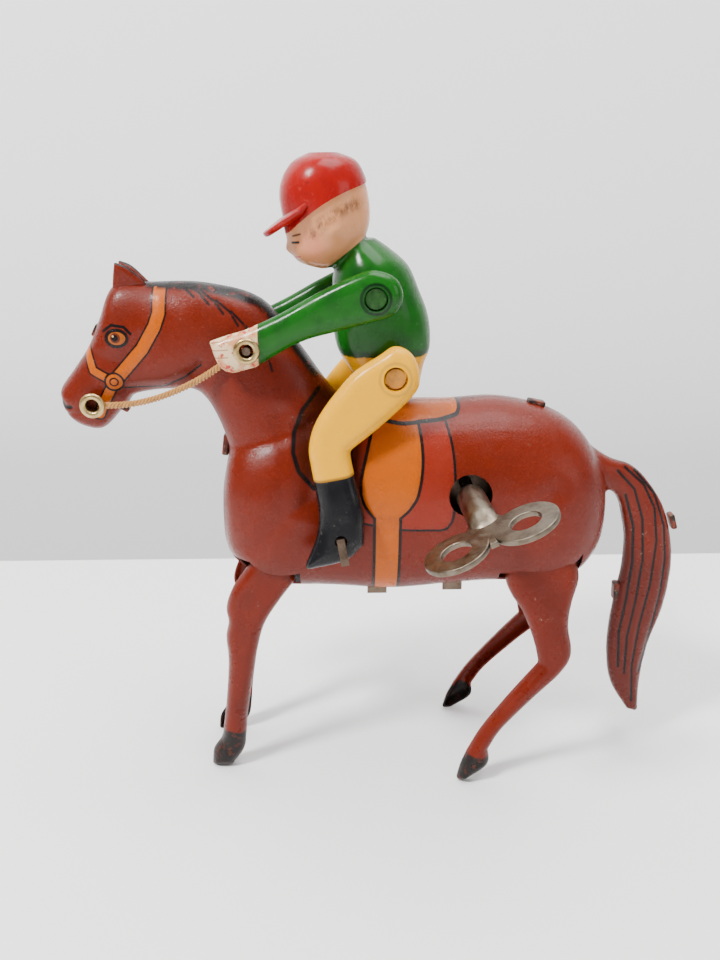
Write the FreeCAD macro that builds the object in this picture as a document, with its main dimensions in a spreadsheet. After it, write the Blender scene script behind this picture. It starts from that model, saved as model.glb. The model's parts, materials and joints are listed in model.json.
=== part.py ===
"""Wind-up tin horse with a celluloid jockey. Millimetres, +Z up, the horse faces -X and its near side is -Y.

Every shape is laid out about the horse's sagittal plane. The whole toy is then moved sideways by mid_shift, because
the key stands out on the near side and the origin is the middle of the base of the toy's box.
"""

import FreeCAD, Part
import math
import os

import Sketcher
from FreeCAD import Placement, Rotation, Vector

doc = FreeCAD.newDocument("wind_up_tin_horse")

# ---------------------------------------------------------------- driving sizes
SIZES = [
    ("toy_length", 150.0, "nose to tail"),
    ("toy_height", 152.5, "floor to top of cap"),
    ("body_half_width", 16.5, "horse body, centre plane to side"),
    ("neck_half_width", 8.0, "horse neck, centre plane to side"),
    ("head_half_width", 6.5, "horse head, centre plane to cheek"),
    ("tail_half_width", 3.0, "tail, centre plane to side"),
    ("tin_wall", 0.5, "pressed tin of body and legs"),
    ("running_clearance", 0.05, "radial clearance of every running fit"),
    ("side_gap", 0.3, "axial gap between moving neighbours"),
    ("axle_radius", 1.2, "leg axles"),
    ("leg_depth", 3.2, "depth of a pressed leg shell"),
    ("leg_top_half_track", 10.8, "centre plane to middle of a leg at its axle"),
    ("front_hoof_half_track", 9.0, "centre plane to middle of a front hoof"),
    ("rear_hoof_half_track", 17.6, "centre plane to middle of a rear hoof"),
    ("plate_half_gap", 5.9, "centre plane to inside of a motor plate"),
    ("plate_wall", 0.8, "motor plate thickness"),
    ("pillar_radius", 1.2, "plate pillars"),
    ("key_hole_radius", 5.0, "hole in the near side for the key"),
    ("key_reach", 22.9, "body side to middle of the key's plate"),
    ("key_lean", 2.9, "degrees that the loose key leans to the rear"),
    ("key_droop", 2.0, "degrees that the loose key hangs down"),
    ("key_turn", 24.6, "degrees between the key's wings and level"),
    ("key_half_span", 14.9, "key middle to wing end"),
    ("key_lobe_radius", 7.2, "each round wing of the key"),
    ("key_eye_radius", 3.3, "hole in each key wing"),
    ("key_plate_wall", 1.3, "key plate thickness"),
    ("key_socket_radius", 3.3, "outside of the key's socket"),
    ("key_socket_wall", 0.7, "wall of the key's socket"),
    ("winding_arbor_radius", 1.5, "winding arbor"),
    ("train_arbor_radius", 0.8, "faster arbors"),
    ("great_teeth", 36, "great wheel"),
    ("great_module", 0.8, "module of great wheel and crank pinion"),
    ("crank_pinion_teeth", 9, "crank pinion"),
    ("second_teeth", 30, "second wheel"),
    ("second_module", 0.6, "module of second wheel and escape pinion"),
    ("escape_pinion_teeth", 8, "escape pinion"),
    ("escape_teeth", 12, "star wheel of the governor"),
    ("escape_radius", 4.6, "star wheel of the governor"),
    ("gear_backlash", 0.25, "share of a tooth cut away as backlash"),
    ("wheel_wall", 0.8, "wheel thickness"),
    ("spring_radius", 11.0, "wound mainspring, outside"),
    ("crank_disc_radius", 4.4, "crank discs"),
    ("crank_throw", 2.0, "crank pin from the crank arbor"),
    ("crank_pin_radius", 0.6, "crank pins and link pins"),
    ("link_wall", 0.7, "links and levers, thickness"),
    ("link_half_width", 1.3, "links and levers, half width"),
    ("lever_reach", 10.5, "leg axle to link pin"),
    ("stirrup_radius", 0.9, "stirrup bar"),
    ("stirrup_hole_radius", 1.4, "hole in the boot"),
    ("rider_pin_radius", 2.2, "hip and shoulder pins"),
    ("rider_leg_wall", 4.4, "thickness of a rider's leg"),
    ("boot_outset", 2.4, "body side to middle of a boot at the stirrup"),
    ("rider_hip_inset", 3.0, "body side to middle of a rider's leg at the hip"),
    ("rider_arm_wall", 3.8, "thickness of a rider's arm"),
    ("rider_arm_half_track", 13.2, "centre plane to middle of an arm at the shoulder"),
    ("hand_half_track", 12.0, "centre plane to middle of a hand"),
    ("rider_half_width", 9.6, "rider's chest, centre plane to side"),
    ("neck_pin_radius", 0.9, "neck pin"),
    ("eyelet_radius", 2.9, "brass eyelet flanges"),
    ("eyelet_hole_radius", 1.45, "bore of a brass eyelet"),
    ("eyelet_wall", 0.35, "brass of an eyelet"),
    ("rein_radius", 0.8, "rein cord"),
    ("lift_rod_half_width", 1.5, "strip that lifts the rider"),
]
# Places on the toy as drawn, which move with its length or height.
PLACES_ALONG = [
    ("front_axle_x", -27.5, "front leg axle"),
    ("rear_axle_x", 39.0, "rear leg axle"),
    ("key_axis_x", 20.2, "winding arbor"),
    ("stirrup_x", -9.6, "stirrup bar"),
    ("hip_x", 2.7, "hip pin"),
    ("shoulder_x", -1.7, "shoulder pin"),
    ("neck_pin_x", -29.9, "neck pin in the hands"),
    ("mouth_x", -65.9, "mouth eyelet"),
    ("lift_rod_x", 1.2, "strip that lifts the rider"),
]
PLACES_UP = [
    ("front_axle_height", 62.0, "front leg axle above the floor"),
    ("rear_axle_height", 66.0, "rear leg axle above the floor"),
    ("plate_bottom", 58.0, "lower edge of the motor plates"),
    ("plate_top", 89.0, "upper edge of the motor plates"),
    ("key_axis_height", 77.5, "winding arbor above the floor"),
    ("stirrup_height", 68.6, "stirrup bar above the floor"),
    ("hip_height", 104.7, "hip pin above the floor"),
    ("shoulder_height", 122.0, "shoulder pin above the floor"),
    ("neck_pin_height", 110.8, "neck pin above the floor"),
    ("mouth_height", 97.4, "mouth eyelet above the floor"),
]
PATTERN_LENGTH = 150.0
PATTERN_HEIGHT = 152.5

sheet = doc.addObject("Spreadsheet::Sheet", "Sizes")


def put_cell(row, alias, value, note):
    sheet.set("A%d" % row, note)
    sheet.set("B%d" % row, repr(value))
    sheet.setAlias("B%d" % row, alias)


class Size:
    """A number together with the spreadsheet formula that it comes from."""

    def __init__(self, value, text):
        self.value = value
        self.text = text

    def join(self, other, sign, value):
        other_text = other.text if isinstance(other, Size) else repr(other)
        return Size(value, "(%s %s %s)" % (self.text, sign, other_text))

    def __float__(self):
        return float(self.value)

    def __add__(self, other):
        return self.join(other, "+", self.value + float(other))

    def __sub__(self, other):
        return self.join(other, "-", self.value - float(other))

    def __mul__(self, other):
        return self.join(other, "*", self.value * float(other))

    def __truediv__(self, other):
        return self.join(other, "/", self.value / float(other))

    def __neg__(self):
        return Size(-self.value, "(0 - %s)" % self.text)


class Sizes:
    """Named sizes of the sheet, as Size values."""


size = Sizes()
for row_number, (alias_name, number, words) in enumerate(SIZES, start=1):
    put_cell(row_number, alias_name, number, words)
    setattr(size, alias_name, Size(number, "Sizes." + alias_name))


def derived(alias, formula, note):
    """Adds a cell whose number follows other cells."""
    put_cell(len(SIZES) + 1 + len(DERIVED), alias, float(formula), note)
    DERIVED.append(alias)
    setattr(size, alias, Size(float(formula), "Sizes." + alias))


DERIVED = []
for alias_name, number, words in PLACES_ALONG:
    put_cell(len(SIZES) + 1 + len(DERIVED), "drawn_" + alias_name, number, words + ", as drawn")
    DERIVED.append("drawn_" + alias_name)
    drawn = Size(number, "Sizes.drawn_" + alias_name)
    derived(alias_name, drawn * size.toy_length / PATTERN_LENGTH, words)
for alias_name, number, words in PLACES_UP:
    put_cell(len(SIZES) + 1 + len(DERIVED), "drawn_" + alias_name, number, words + ", as drawn")
    DERIVED.append("drawn_" + alias_name)
    drawn = Size(number, "Sizes.drawn_" + alias_name)
    derived(alias_name, drawn * size.toy_height / PATTERN_HEIGHT, words)
derived("boot_half_track", size.body_half_width + size.boot_outset, "centre plane to middle of a boot")
derived("rider_hip_half_track", size.body_half_width - size.rider_hip_inset,
    "centre plane to middle of a hip")
KEY_SIDE_ROOM = 0.4
BAR_END_ROOM = 1.95
near_reach = size.body_half_width + size.key_reach + size.key_lobe_radius + KEY_SIDE_ROOM
far_reach = size.boot_half_track + size.rider_leg_wall / 2 + BAR_END_ROOM
derived("mid_shift", (near_reach - far_reach) / 2, "centre plane from the middle of the toy's box")
doc.recompute()

STRETCH = float(size.toy_length) / PATTERN_LENGTH
RAISE = float(size.toy_height) / PATTERN_HEIGHT
WALL = float(size.tin_wall)
GAP = float(size.side_gap)
FIT = float(size.running_clearance)
AXIS_Y = Vector(0, 1, 0)
UPRIGHT_TO_Y = Rotation(Vector(1, 0, 0), -90)

nodes = {}


def node(obj, label):
    """Registers a finished sub-part under the name of its file."""
    obj.Label = label
    nodes[label] = obj
    return obj


def shape_node(label, shape):
    """A sub-part whose shape is set in code, moved from the centre plane to its place."""
    obj = doc.addObject("Part::Feature", label)
    obj.Shape = shape
    obj.setExpression("Placement.Base.y", size.mid_shift.text)
    return node(obj, label)


def bind(obj, prop, formula):
    obj.setExpression(prop, formula.text if isinstance(formula, Size) else repr(formula))


def rod(name, radius, start, end, x, height):
    """A parametric cylinder along Y from start to end, both measured from the centre plane."""
    cylinder = doc.addObject("Part::Cylinder", name)
    cylinder.Placement = Placement(Vector(), UPRIGHT_TO_Y)
    bind(cylinder, "Radius", radius)
    bind(cylinder, "Height", end - start)
    bind(cylinder, "Placement.Base.x", x)
    bind(cylinder, "Placement.Base.y", start + size.mid_shift)
    bind(cylinder, "Placement.Base.z", height)
    return cylinder


def fused(label, *pieces):
    fusion = doc.addObject("Part::MultiFuse", label)
    fusion.Shapes = list(pieces)
    return node(fusion, label)


# ---------------------------------------------------------------- sketched flat pieces
def sketch_in(body, name):
    sketch = body.newObject("Sketcher::SketchObject", name)
    plane = [item for item in body.Origin.OriginFeatures if item.Role == "XZ_Plane"][0]
    sketch.AttachmentSupport = [(plane, "")]
    sketch.MapMode = "FlatFace"
    return sketch


def constrain(sketch, kind, formula, *where):
    """Adds a dimension bound to the sheet."""
    index = sketch.addConstraint(Sketcher.Constraint(kind, *where, float(formula)))
    name = "size%d" % index
    sketch.renameConstraint(index, name)
    bind(sketch, "Constraints." + name, formula)


def draw_circle(sketch, x, height, radius):
    circle = Part.Circle(Vector(float(x), float(height), 0), Vector(0, 0, 1), float(radius))
    index = sketch.addGeometry(circle, False)
    constrain(sketch, "DistanceX", x, -1, 1, index, 3)
    constrain(sketch, "DistanceY", height, -1, 1, index, 3)
    constrain(sketch, "Radius", radius, index)


def draw_polygon(sketch, corners):
    """A closed outline whose every corner is bound to the sheet."""
    count = len(corners)
    first = sketch.GeometryCount
    for index, (x, height) in enumerate(corners):
        next_x, next_height = corners[(index + 1) % count]
        start = Vector(float(x), float(height), 0)
        end = Vector(float(next_x), float(next_height), 0)
        sketch.addGeometry(Part.LineSegment(start, end), False)
    for index, (x, height) in enumerate(corners):
        this_line = first + index
        next_line = first + (index + 1) % count
        sketch.addConstraint(Sketcher.Constraint("Coincident", this_line, 2, next_line, 1))
        constrain(sketch, "DistanceX", x, -1, 1, this_line, 1)
        constrain(sketch, "DistanceY", height, -1, 1, this_line, 1)


def flat_body(label, wall, middle, circles=(), corners=None):
    """A flat piece pressed from strip: an outline or the largest circle, less the other circles."""
    body = doc.addObject("PartDesign::Body", label)
    sketch = sketch_in(body, label + "_outline")
    if corners:
        draw_polygon(sketch, corners)
    for x, height, radius in circles:
        draw_circle(sketch, x, height, radius)
    pad = body.newObject("PartDesign::Pad", label + "_pad")
    pad.Profile = sketch
    pad.SideType = "Symmetric"
    bind(pad, "Length", wall)
    bind(body, "Placement.Base.y", middle + size.mid_shift)
    return node(body, label)


# ---------------------------------------------------------------- curves and ribs
def spline(points, closed=False):
    curve = Part.BSplineCurve()
    curve.interpolate([Vector(*point) for point in points], closed)
    return curve.toShape()


def outline(runs, depth):
    """A wire in the plane y = depth of smooth runs that meet at corners; a run of two points is straight."""
    edges = []
    for run in runs:
        points = [(x * STRETCH, depth, z * RAISE) for x, z in run]
        if len(points) == 2:
            edges.append(Part.LineSegment(Vector(*points[0]), Vector(*points[1])).toShape())
        else:
            edges.append(spline(points))
    return Part.Wire(edges)


def half_rib(top, bottom, half_width, upper, lower, count=12):
    """Points of the near half of a section, from its crest to its underside, rounder above than below."""
    middle = Vector((top[0] + bottom[0]) / 2, 0, (top[1] + bottom[1]) / 2)
    rise = Vector((top[0] - bottom[0]) / 2, 0, (top[1] - bottom[1]) / 2)
    points = []
    for step in range(count + 1):
        angle = math.pi * step / count
        across, along = math.sin(angle), math.cos(angle)
        power = 2 / (upper if along >= 0 else lower)
        side = -abs(across) ** power * half_width if 0 < step < count else 0.0
        up = math.copysign(abs(along) ** power, along)
        points.append(middle + rise * up + Vector(0, side, 0))
    return points


def rib_loft(ribs, wall, past=0.0, upper=2.2, lower=2.8):
    """The near half of a solid through ribs (top, bottom, half width), drawn in and run past y = 0."""
    wires = []
    last = len(ribs) - 1
    for index, (top, bottom, half_width) in enumerate(ribs):
        if wall and index in (0, last):
            beside = ribs[1] if index == 0 else ribs[last - 1]
            top = tuple(0.8 * a + 0.2 * b for a, b in zip(top, beside[0]))
            bottom = tuple(0.8 * a + 0.2 * b for a, b in zip(bottom, beside[1]))
        top = (top[0] * STRETCH, top[1] * RAISE)
        bottom = (bottom[0] * STRETCH, bottom[1] * RAISE)
        shrink = wall / math.hypot(top[0] - bottom[0], top[1] - bottom[1])
        inner_top = tuple(a + (b - a) * shrink for a, b in zip(top, bottom))
        inner_bottom = tuple(b + (a - b) * shrink for a, b in zip(top, bottom))
        points = half_rib(inner_top, inner_bottom, half_width - wall, upper, lower)
        corners = [points[-1], points[-1] + Vector(0, past, 0), points[0] + Vector(0, past, 0), points[0]]
        if past == 0:
            corners = [points[-1], points[0]]
        edges = [spline(points)]
        edges += [Part.LineSegment(start, end).toShape() for start, end in zip(corners, corners[1:])]
        wires.append(Part.Wire(edges))
    solid = Part.makeLoft(wires, True, True)
    if solid.Volume < 0:
        solid.reverse()
    return solid


def lying_loft(ribs, wall):
    """A whole solid through round sections given by (front, back, half width), drawn in by the wall."""
    wires = []
    last = len(ribs) - 1
    for index, (front, back, half_width) in enumerate(ribs):
        middle = Vector((front[0] + back[0]) / 2 * STRETCH, 0, (front[1] + back[1]) / 2 * RAISE)
        reach = Vector((back[0] - front[0]) / 2 * STRETCH, 0, (back[1] - front[1]) / 2 * RAISE)
        reach = reach * ((reach.Length - wall) / reach.Length)
        if wall and index in (0, last):
            middle.z += wall if index == 0 else -wall
        ellipse = []
        for step in range(16):
            angle = 2 * math.pi * (step + 0.5) / 16
            side = Vector(0, math.sin(angle) * (half_width - wall), 0)
            ellipse.append(middle + reach * math.cos(angle) + side)
        wires.append(Part.Wire([spline(ellipse, closed=True)]))
    solid = Part.makeLoft(wires, True, True)
    if solid.Volume < 0:
        solid.reverse()
    return solid


def block(x_span, y_span, z_span):
    return Part.makeBox(
        x_span[1] - x_span[0],
        y_span[1] - y_span[0],
        z_span[1] - z_span[0],
        Vector(x_span[0], y_span[0], z_span[0]),
    )


def drum(x, height, radius, start, end):
    """A plain cylinder along Y."""
    return Part.makeCylinder(radius, end - start, Vector(x, start, height), AXIS_Y)


def slab(wire, start, end):
    """A flat outline drawn out along Y between two depths."""
    face = Part.Face(wire)
    face.translate(Vector(0, start - face.BoundBox.YMin, 0))
    return face.extrude(Vector(0, end - start, 0))


# ---------------------------------------------------------------- horse body shells
def horse_ribs():
    side = float(size.body_half_width)
    neck = float(size.neck_half_width)
    head = float(size.head_half_width)
    tail = float(size.tail_half_width)
    trunk = [
        ((-37.6, 76), (-37.6, 63), 0.3 * side),
        ((-34.5, 88), (-34.5, 56.5), 0.85 * side),
        ((-26, 92), (-27, 51.5), 0.97 * side),
        ((-12, 98.5), (-12, 50.5), 0.86 * side),
        ((3, 96.5), (3, 50), side),
        ((16, 96.3), (16, 51), side),
        ((28, 96.8), (28, 51.5), side),
        ((40, 94.3), (40, 51), side),
        ((49, 88), (49, 54), 0.9 * side),
        ((55, 78), (55, 64), 0.3 * side),
    ]
    neck_and_head = [
        ((-4, 92), (-33, 66), 0.8 * side),
        ((-11.5, 99.5), (-35.4, 84), 0.66 * side),
        ((-18.8, 109.5), (-38.4, 92.5), 1.15 * neck),
        ((-27.2, 120), (-42.8, 99), neck),
        ((-40, 123.6), (-50, 99), neck),
        ((-52, 124), (-57.5, 98), 1.04 * head),
        ((-62.8, 120), (-60.5, 95), head),
        ((-67, 110), (-62.8, 92.5), 0.95 * head),
        ((-71, 104.5), (-65.8, 90.2), 0.9 * head),
        ((-74.5, 100), (-71, 91.5), 0.7 * head),
        ((-75, 98), (-73.8, 93.8), 0.4 * head),
    ]
    brush = [
        ((49, 88), (49, 72), 1.5 * tail),
        ((56, 81.7), (55.5, 73.6), 1.15 * tail),
        ((62.4, 79.2), (59.4, 71.2), tail),
        ((68, 73.5), (61.4, 64.5), tail),
        ((72.3, 66), (62.1, 59.5), tail),
        ((75, 54), (62.2, 51), tail),
        ((74.2, 41), (60.8, 40), tail),
        ((71.4, 30), (60.4, 29), 0.93 * tail),
        ((70.4, 19), (62, 18.4), 0.8 * tail),
        ((71, 9), (67.5, 9.6), 0.5 * tail),
    ]
    return trunk, neck_and_head, brush


def near_shell():
    """The near half of the horse in sheet, cut off at the centre plane, with the holes of both halves."""
    tin = None
    for ribs in horse_ribs():
        solid = rib_loft(ribs, 0.0)
        tin = solid if tin is None else tin.fuse(solid)
    for ribs in horse_ribs():
        tin = tin.cut(rib_loft(ribs, WALL, past=2.0))
    slot_side = float(size.leg_top_half_track) + float(size.leg_depth) / 2 + 1.4
    front_x, rear_x = float(size.front_axle_x), float(size.rear_axle_x)
    belly = 60.5 * RAISE
    for low_x, high_x, top in ((front_x - 11, front_x + 10, belly),
            (rear_x - 12, rear_x + 13, belly + 1.0)):
        tin = tin.cut(block((low_x, high_x), (-slot_side, 1), (40 * RAISE, top)))
    stirrup = float(size.stirrup_radius) + FIT
    tin = tin.cut(drum(float(size.stirrup_x), float(size.stirrup_height), stirrup, -60, 1))
    pin = float(size.neck_pin_radius) + FIT
    tin = tin.cut(drum(float(size.neck_pin_x), float(size.neck_pin_height), pin, -60, 1))
    barrel = float(size.eyelet_hole_radius) + float(size.eyelet_wall) + FIT
    tin = tin.cut(drum(float(size.mouth_x), float(size.mouth_height), barrel, -60, 1))
    rod_x, rod_side = float(size.lift_rod_x), float(size.lift_rod_half_width) + GAP
    tin = tin.cut(block((rod_x - rod_side, rod_x + rod_side), (-0.4 - GAP, 1), (90 * RAISE, 110 * RAISE)))
    for behind_key in MOTOR_TABS:
        tin = tin.cut(tab_window(float(size.key_axis_x) + behind_key))
    return tin


# Middles of the motor plates' tabs, measured from the winding arbor.
MOTOR_TABS = (-20.9, -2.2)
TAB_HALF_WIDTH = 2.4


def tab_window(tab_x):
    """The slit in the belly that a motor plate's tab comes out of."""
    plate = float(size.plate_half_gap) + float(size.plate_wall) / 2
    reach = float(size.plate_wall) / 2 + GAP
    half = TAB_HALF_WIDTH + GAP
    return block((tab_x - half, tab_x + half), (-plate - reach, -plate + reach), (40 * RAISE, 57 * RAISE))


def ear(side):
    """One pressed ear, standing on its half of the seam."""
    wire = outline([[(-60.6, 121.5), (-60, 125), (-59.7, 128.6)], [(-59.7, 128.6), (-51, 122.5)],
        [(-51, 122.5), (-60.6, 121.5)]], 0)
    low_y, high_y = sorted((side * 0.8, side * 2.6))
    return slab(wire, low_y, high_y)


def seam_tabs(side):
    """Small bent tabs that hold the halves together along the seam."""
    places = [(-65.8, 113.2, 3.2, 1.6), (-37.4, 85.6, 2.2, 5.5), (37.5, 94.9, 4.5, 1.6),
        (73.6, 64.5, 1.8, 4.2)]
    places += [(61.9, 45.2, 2.4, 5.2), (-34.5, 56.6, 3.4, 3.0)]
    solid = None
    for x, z, length, height in places:
        x, z = x * STRETCH, z * RAISE
        low_y, high_y = sorted((side * 0.1, side * 1.6))
        tab = block((x - length / 2, x + length / 2), (low_y, high_y), (z - height / 2, z + height / 2))
        solid = tab if solid is None else solid.fuse(tab)
    return solid


def make_shells():
    near = near_shell()
    key_hole = drum(float(size.key_axis_x), float(size.key_axis_height),
        float(size.key_hole_radius), -60, 1)
    for label, side in (("body_shell_left", -1), ("body_shell_right", 1)):
        half = near.cut(key_hole) if side < 0 else near.mirror(Vector(), AXIS_Y)
        half = half.fuse(ear(side)).fuse(seam_tabs(side))
        half = sorted(half.Solids, key=lambda piece: piece.Volume)[-1]
        shape_node(label, half)


# ---------------------------------------------------------------- horse legs
FRONT_LEG = [
    [(-31.2, 58.8), (-33.2, 56.0), (-36, 51.8), (-37.9, 46.5), (-37.6, 42.2), (-38.4, 38),
     (-38.2, 31), (-39.2, 20), (-40.2, 12.5)],
    [(-40.2, 12.5), (-41, 8.2), (-43.3, 4.4), (-43.9, -0.6)],
    [(-43.9, -0.6), (-38.4, -0.6)],
    [(-38.4, -0.6), (-35.4, 4.4), (-34.6, 9)],
    [(-34.6, 9), (-33.9, 16), (-32.2, 26.5), (-30.7, 34.5), (-28.6, 41.8), (-24.6, 48.4), (-20.8, 53.6)],
    [(-20.8, 53.6), (-22.2, 59), (-24.2, 64.6), (-27.5, 66.0), (-30.2, 63.6), (-31.2, 58.8)],
]
REAR_LEG = [
    [(31.2, 60), (30.4, 54.5), (31.9, 50.2), (34.7, 46), (36.5, 42), (38.3, 37), (39.5, 32)],
    [(39.5, 32), (34.9, 26.5), (29.9, 20.2), (25.4, 14), (22.3, 8.4)],
    [(22.3, 8.4), (20.6, 4.3), (19.5, -0.6)],
    [(19.5, -0.6), (21.6, -0.6)],
    [(21.6, -0.6), (27.4, 4.2), (27.5, 8.6)],
    [(27.5, 8.6), (30.9, 14.3), (38.5, 22.6), (44.9, 29.1), (47.5, 34.4), (46.4, 41.8), (47, 48),
     (48.4, 54.5), (46.9, 60)],
    [(46.9, 60), (44, 67), (39, 70.4), (34.2, 67), (31.2, 60)],
]


def inset_wire(runs, margin, floor_margin):
    """The outline drawn in by a margin, as one polygon, and kept clear of the floor."""
    points = [point for run in runs for point in run[:-1]]
    points = [(x * STRETCH, z * RAISE) for x, z in points]
    count = len(points)
    area = sum(
        points[i][0] * points[(i + 1) % count][1] - points[(i + 1) % count][0] * points[i][1] for i in range(count)
    )
    turn = 1 if area > 0 else -1
    inner = []
    for index, (x, z) in enumerate(points):
        before, after = points[index - 1], points[(index + 1) % count]
        dx, dz = after[0] - before[0], after[1] - before[1]
        length = math.hypot(dx, dz)
        inner.append(Vector(x - turn * dz / length * margin, 0, z + turn * dx / length * margin))
    inner = [point for point in inner if point.z > floor_margin]
    return Part.makePolygon(inner + [inner[0]])


def pressed_leg(label, runs, side, axle_x, axle_height, hoof_half_track):
    """A leg pressed from sheet: convex outside, hollow on the side that faces its twin."""
    depth = float(size.leg_depth)
    top = float(size.leg_top_half_track)
    outer = slab(outline(runs, 0), -depth / 2, depth / 2)
    hollow = slab(inset_wire(runs, 1.0 + WALL, 10 * RAISE), -depth / 2, depth / 2 - WALL - 0.2)
    leg = outer.cut(hollow)
    if side < 0:
        leg = leg.mirror(Vector(), AXIS_Y)
    splay = math.degrees(math.atan2(float(hoof_half_track) - top, axle_height))
    leg.rotate(Vector(0, 0, axle_height), Vector(1, 0, 0), side * splay)
    leg.translate(Vector(0, side * top, 0))
    boss = drum(axle_x, axle_height, float(size.axle_radius) + 1.4, side * top - depth / 2,
        side * top + depth / 2)
    leg = leg.fuse(boss)
    leg = leg.cut(block((-120, 120), (-60, 60), (-20, 0)))
    leg = leg.cut(drum(axle_x, axle_height, float(size.axle_radius), -60, 60))
    leg = sorted(leg.Solids, key=lambda piece: piece.Volume)[-1]
    shape_node(label, leg)


def make_legs():
    for word, runs, axle_x, height, track in (
        ("front", FRONT_LEG, size.front_axle_x, size.front_axle_height, size.front_hoof_half_track),
        ("rear", REAR_LEG, size.rear_axle_x, size.rear_axle_height, size.rear_hoof_half_track),
    ):
        for hand, side in (("left", -1), ("right", 1)):
            pressed_leg("%s_leg_%s" % (word, hand), runs, side, float(axle_x), float(height), track)
        reach = size.leg_top_half_track + size.leg_depth / 2 + 0.4
        node(rod(word + "_axle_bar", size.axle_radius, -reach, reach, axle_x, height), word + "_leg_axle")


# ---------------------------------------------------------------- clockwork
def involute_gear(teeth, module, bore, start, end, x, height, phase):
    """A spur gear with involute flanks and stub teeth; phase turns it, in teeth."""
    pressure = math.radians(20)
    pitch = teeth * module / 2
    base = pitch * math.cos(pressure)
    outside = pitch + 0.75 * module
    root = pitch - 1.05 * module
    half_tooth = math.pi / (2 * teeth) * (1 - float(size.gear_backlash))
    involute_at_pitch = math.tan(pressure) - pressure
    flank = []
    for share in (0.0, 0.35, 0.7, 1.0):
        radius = max(base, root) + (outside - max(base, root)) * share
        roll = math.acos(min(1.0, base / radius))
        flank.append((radius, half_tooth + involute_at_pitch - (math.tan(roll) - roll)))
    corners = []
    for tooth in range(teeth):
        centre = 2 * math.pi * (tooth + phase) / teeth
        corners.append((root, centre - flank[0][1]))
        corners += [(radius, centre - angle) for radius, angle in flank]
        corners += [(radius, centre + angle) for radius, angle in reversed(flank)]
        corners.append((root, centre + flank[0][1]))
    points = [Vector(x + r * math.cos(a), start, height + r * math.sin(a)) for r, a in corners]
    gear = Part.Face(Part.makePolygon(points + [points[0]])).extrude(Vector(0, end - start, 0))
    return gear.cut(drum(x, height, bore, start - 1, end + 1)) if bore else gear


def star_wheel(x, height, radius, teeth, bore, start, end):
    points = []
    for index in range(2 * teeth):
        reach = radius if index % 2 == 0 else 0.72 * radius
        angle = math.pi * index / teeth
        points.append(Vector(x + reach * math.cos(angle), start, height + reach * math.sin(angle)))
    star = Part.Face(Part.makePolygon(points + [points[0]])).extrude(Vector(0, end - start, 0))
    return star.cut(drum(x, height, bore, start - 1, end + 1))


def direction_from(origin, angle, distance):
    return origin[0] + distance * math.cos(math.radians(angle)), origin[1] + distance * math.sin(math.radians(angle))


def mesh_phase(angle, teeth, driver_teeth, driver_phase):
    """Turns a follower so that one of its gaps faces the driver's tooth along the line of centres."""
    driver_step = (angle / 360.0) * driver_teeth - driver_phase
    offset = driver_step - round(driver_step)
    back = (angle + 180) / 360.0 * teeth
    return back - 0.5 + offset


KEY = (float(size.key_axis_x), float(size.key_axis_height))
CRANK_ANGLE = 210.0
ESCAPE_ANGLE = 140.0
PALLET_ANGLE = 180.0
FRONT_PIN_ANGLE = 90.0
REAR_PIN_ANGLE = 270.0
crank_distance = float(size.great_module) * (float(size.great_teeth) + float(size.crank_pinion_teeth)) / 2
escape_distance = float(size.second_module) * (float(size.second_teeth) + float(size.escape_pinion_teeth)) / 2
CRANK = direction_from(KEY, CRANK_ANGLE, crank_distance)
ESCAPE = direction_from(CRANK, ESCAPE_ANGLE, escape_distance)
PALLET = direction_from(ESCAPE, PALLET_ANGLE, float(size.escape_radius) + 2.6)
crank_x = size.key_axis_x + size.great_module * (size.great_teeth + size.crank_pinion_teeth) / 2 * math.cos(math.radians(CRANK_ANGLE))
crank_height = size.key_axis_height + size.great_module * (size.great_teeth + size.crank_pinion_teeth) / 2 * math.sin(math.radians(CRANK_ANGLE))
half_gap = float(size.plate_half_gap)
plate_out = half_gap + float(size.plate_wall)
wheel_wall = float(size.wheel_wall)


def pillar_places():
    low, high = float(size.plate_bottom) + 3, float(size.plate_top) - 3
    front, rear = float(size.front_axle_x), float(size.rear_axle_x)
    return [(front + 5.5, high - 3), (front + 9, low + 3), (rear + 1.5, high - 2), (rear - 7.5, low)]


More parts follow.
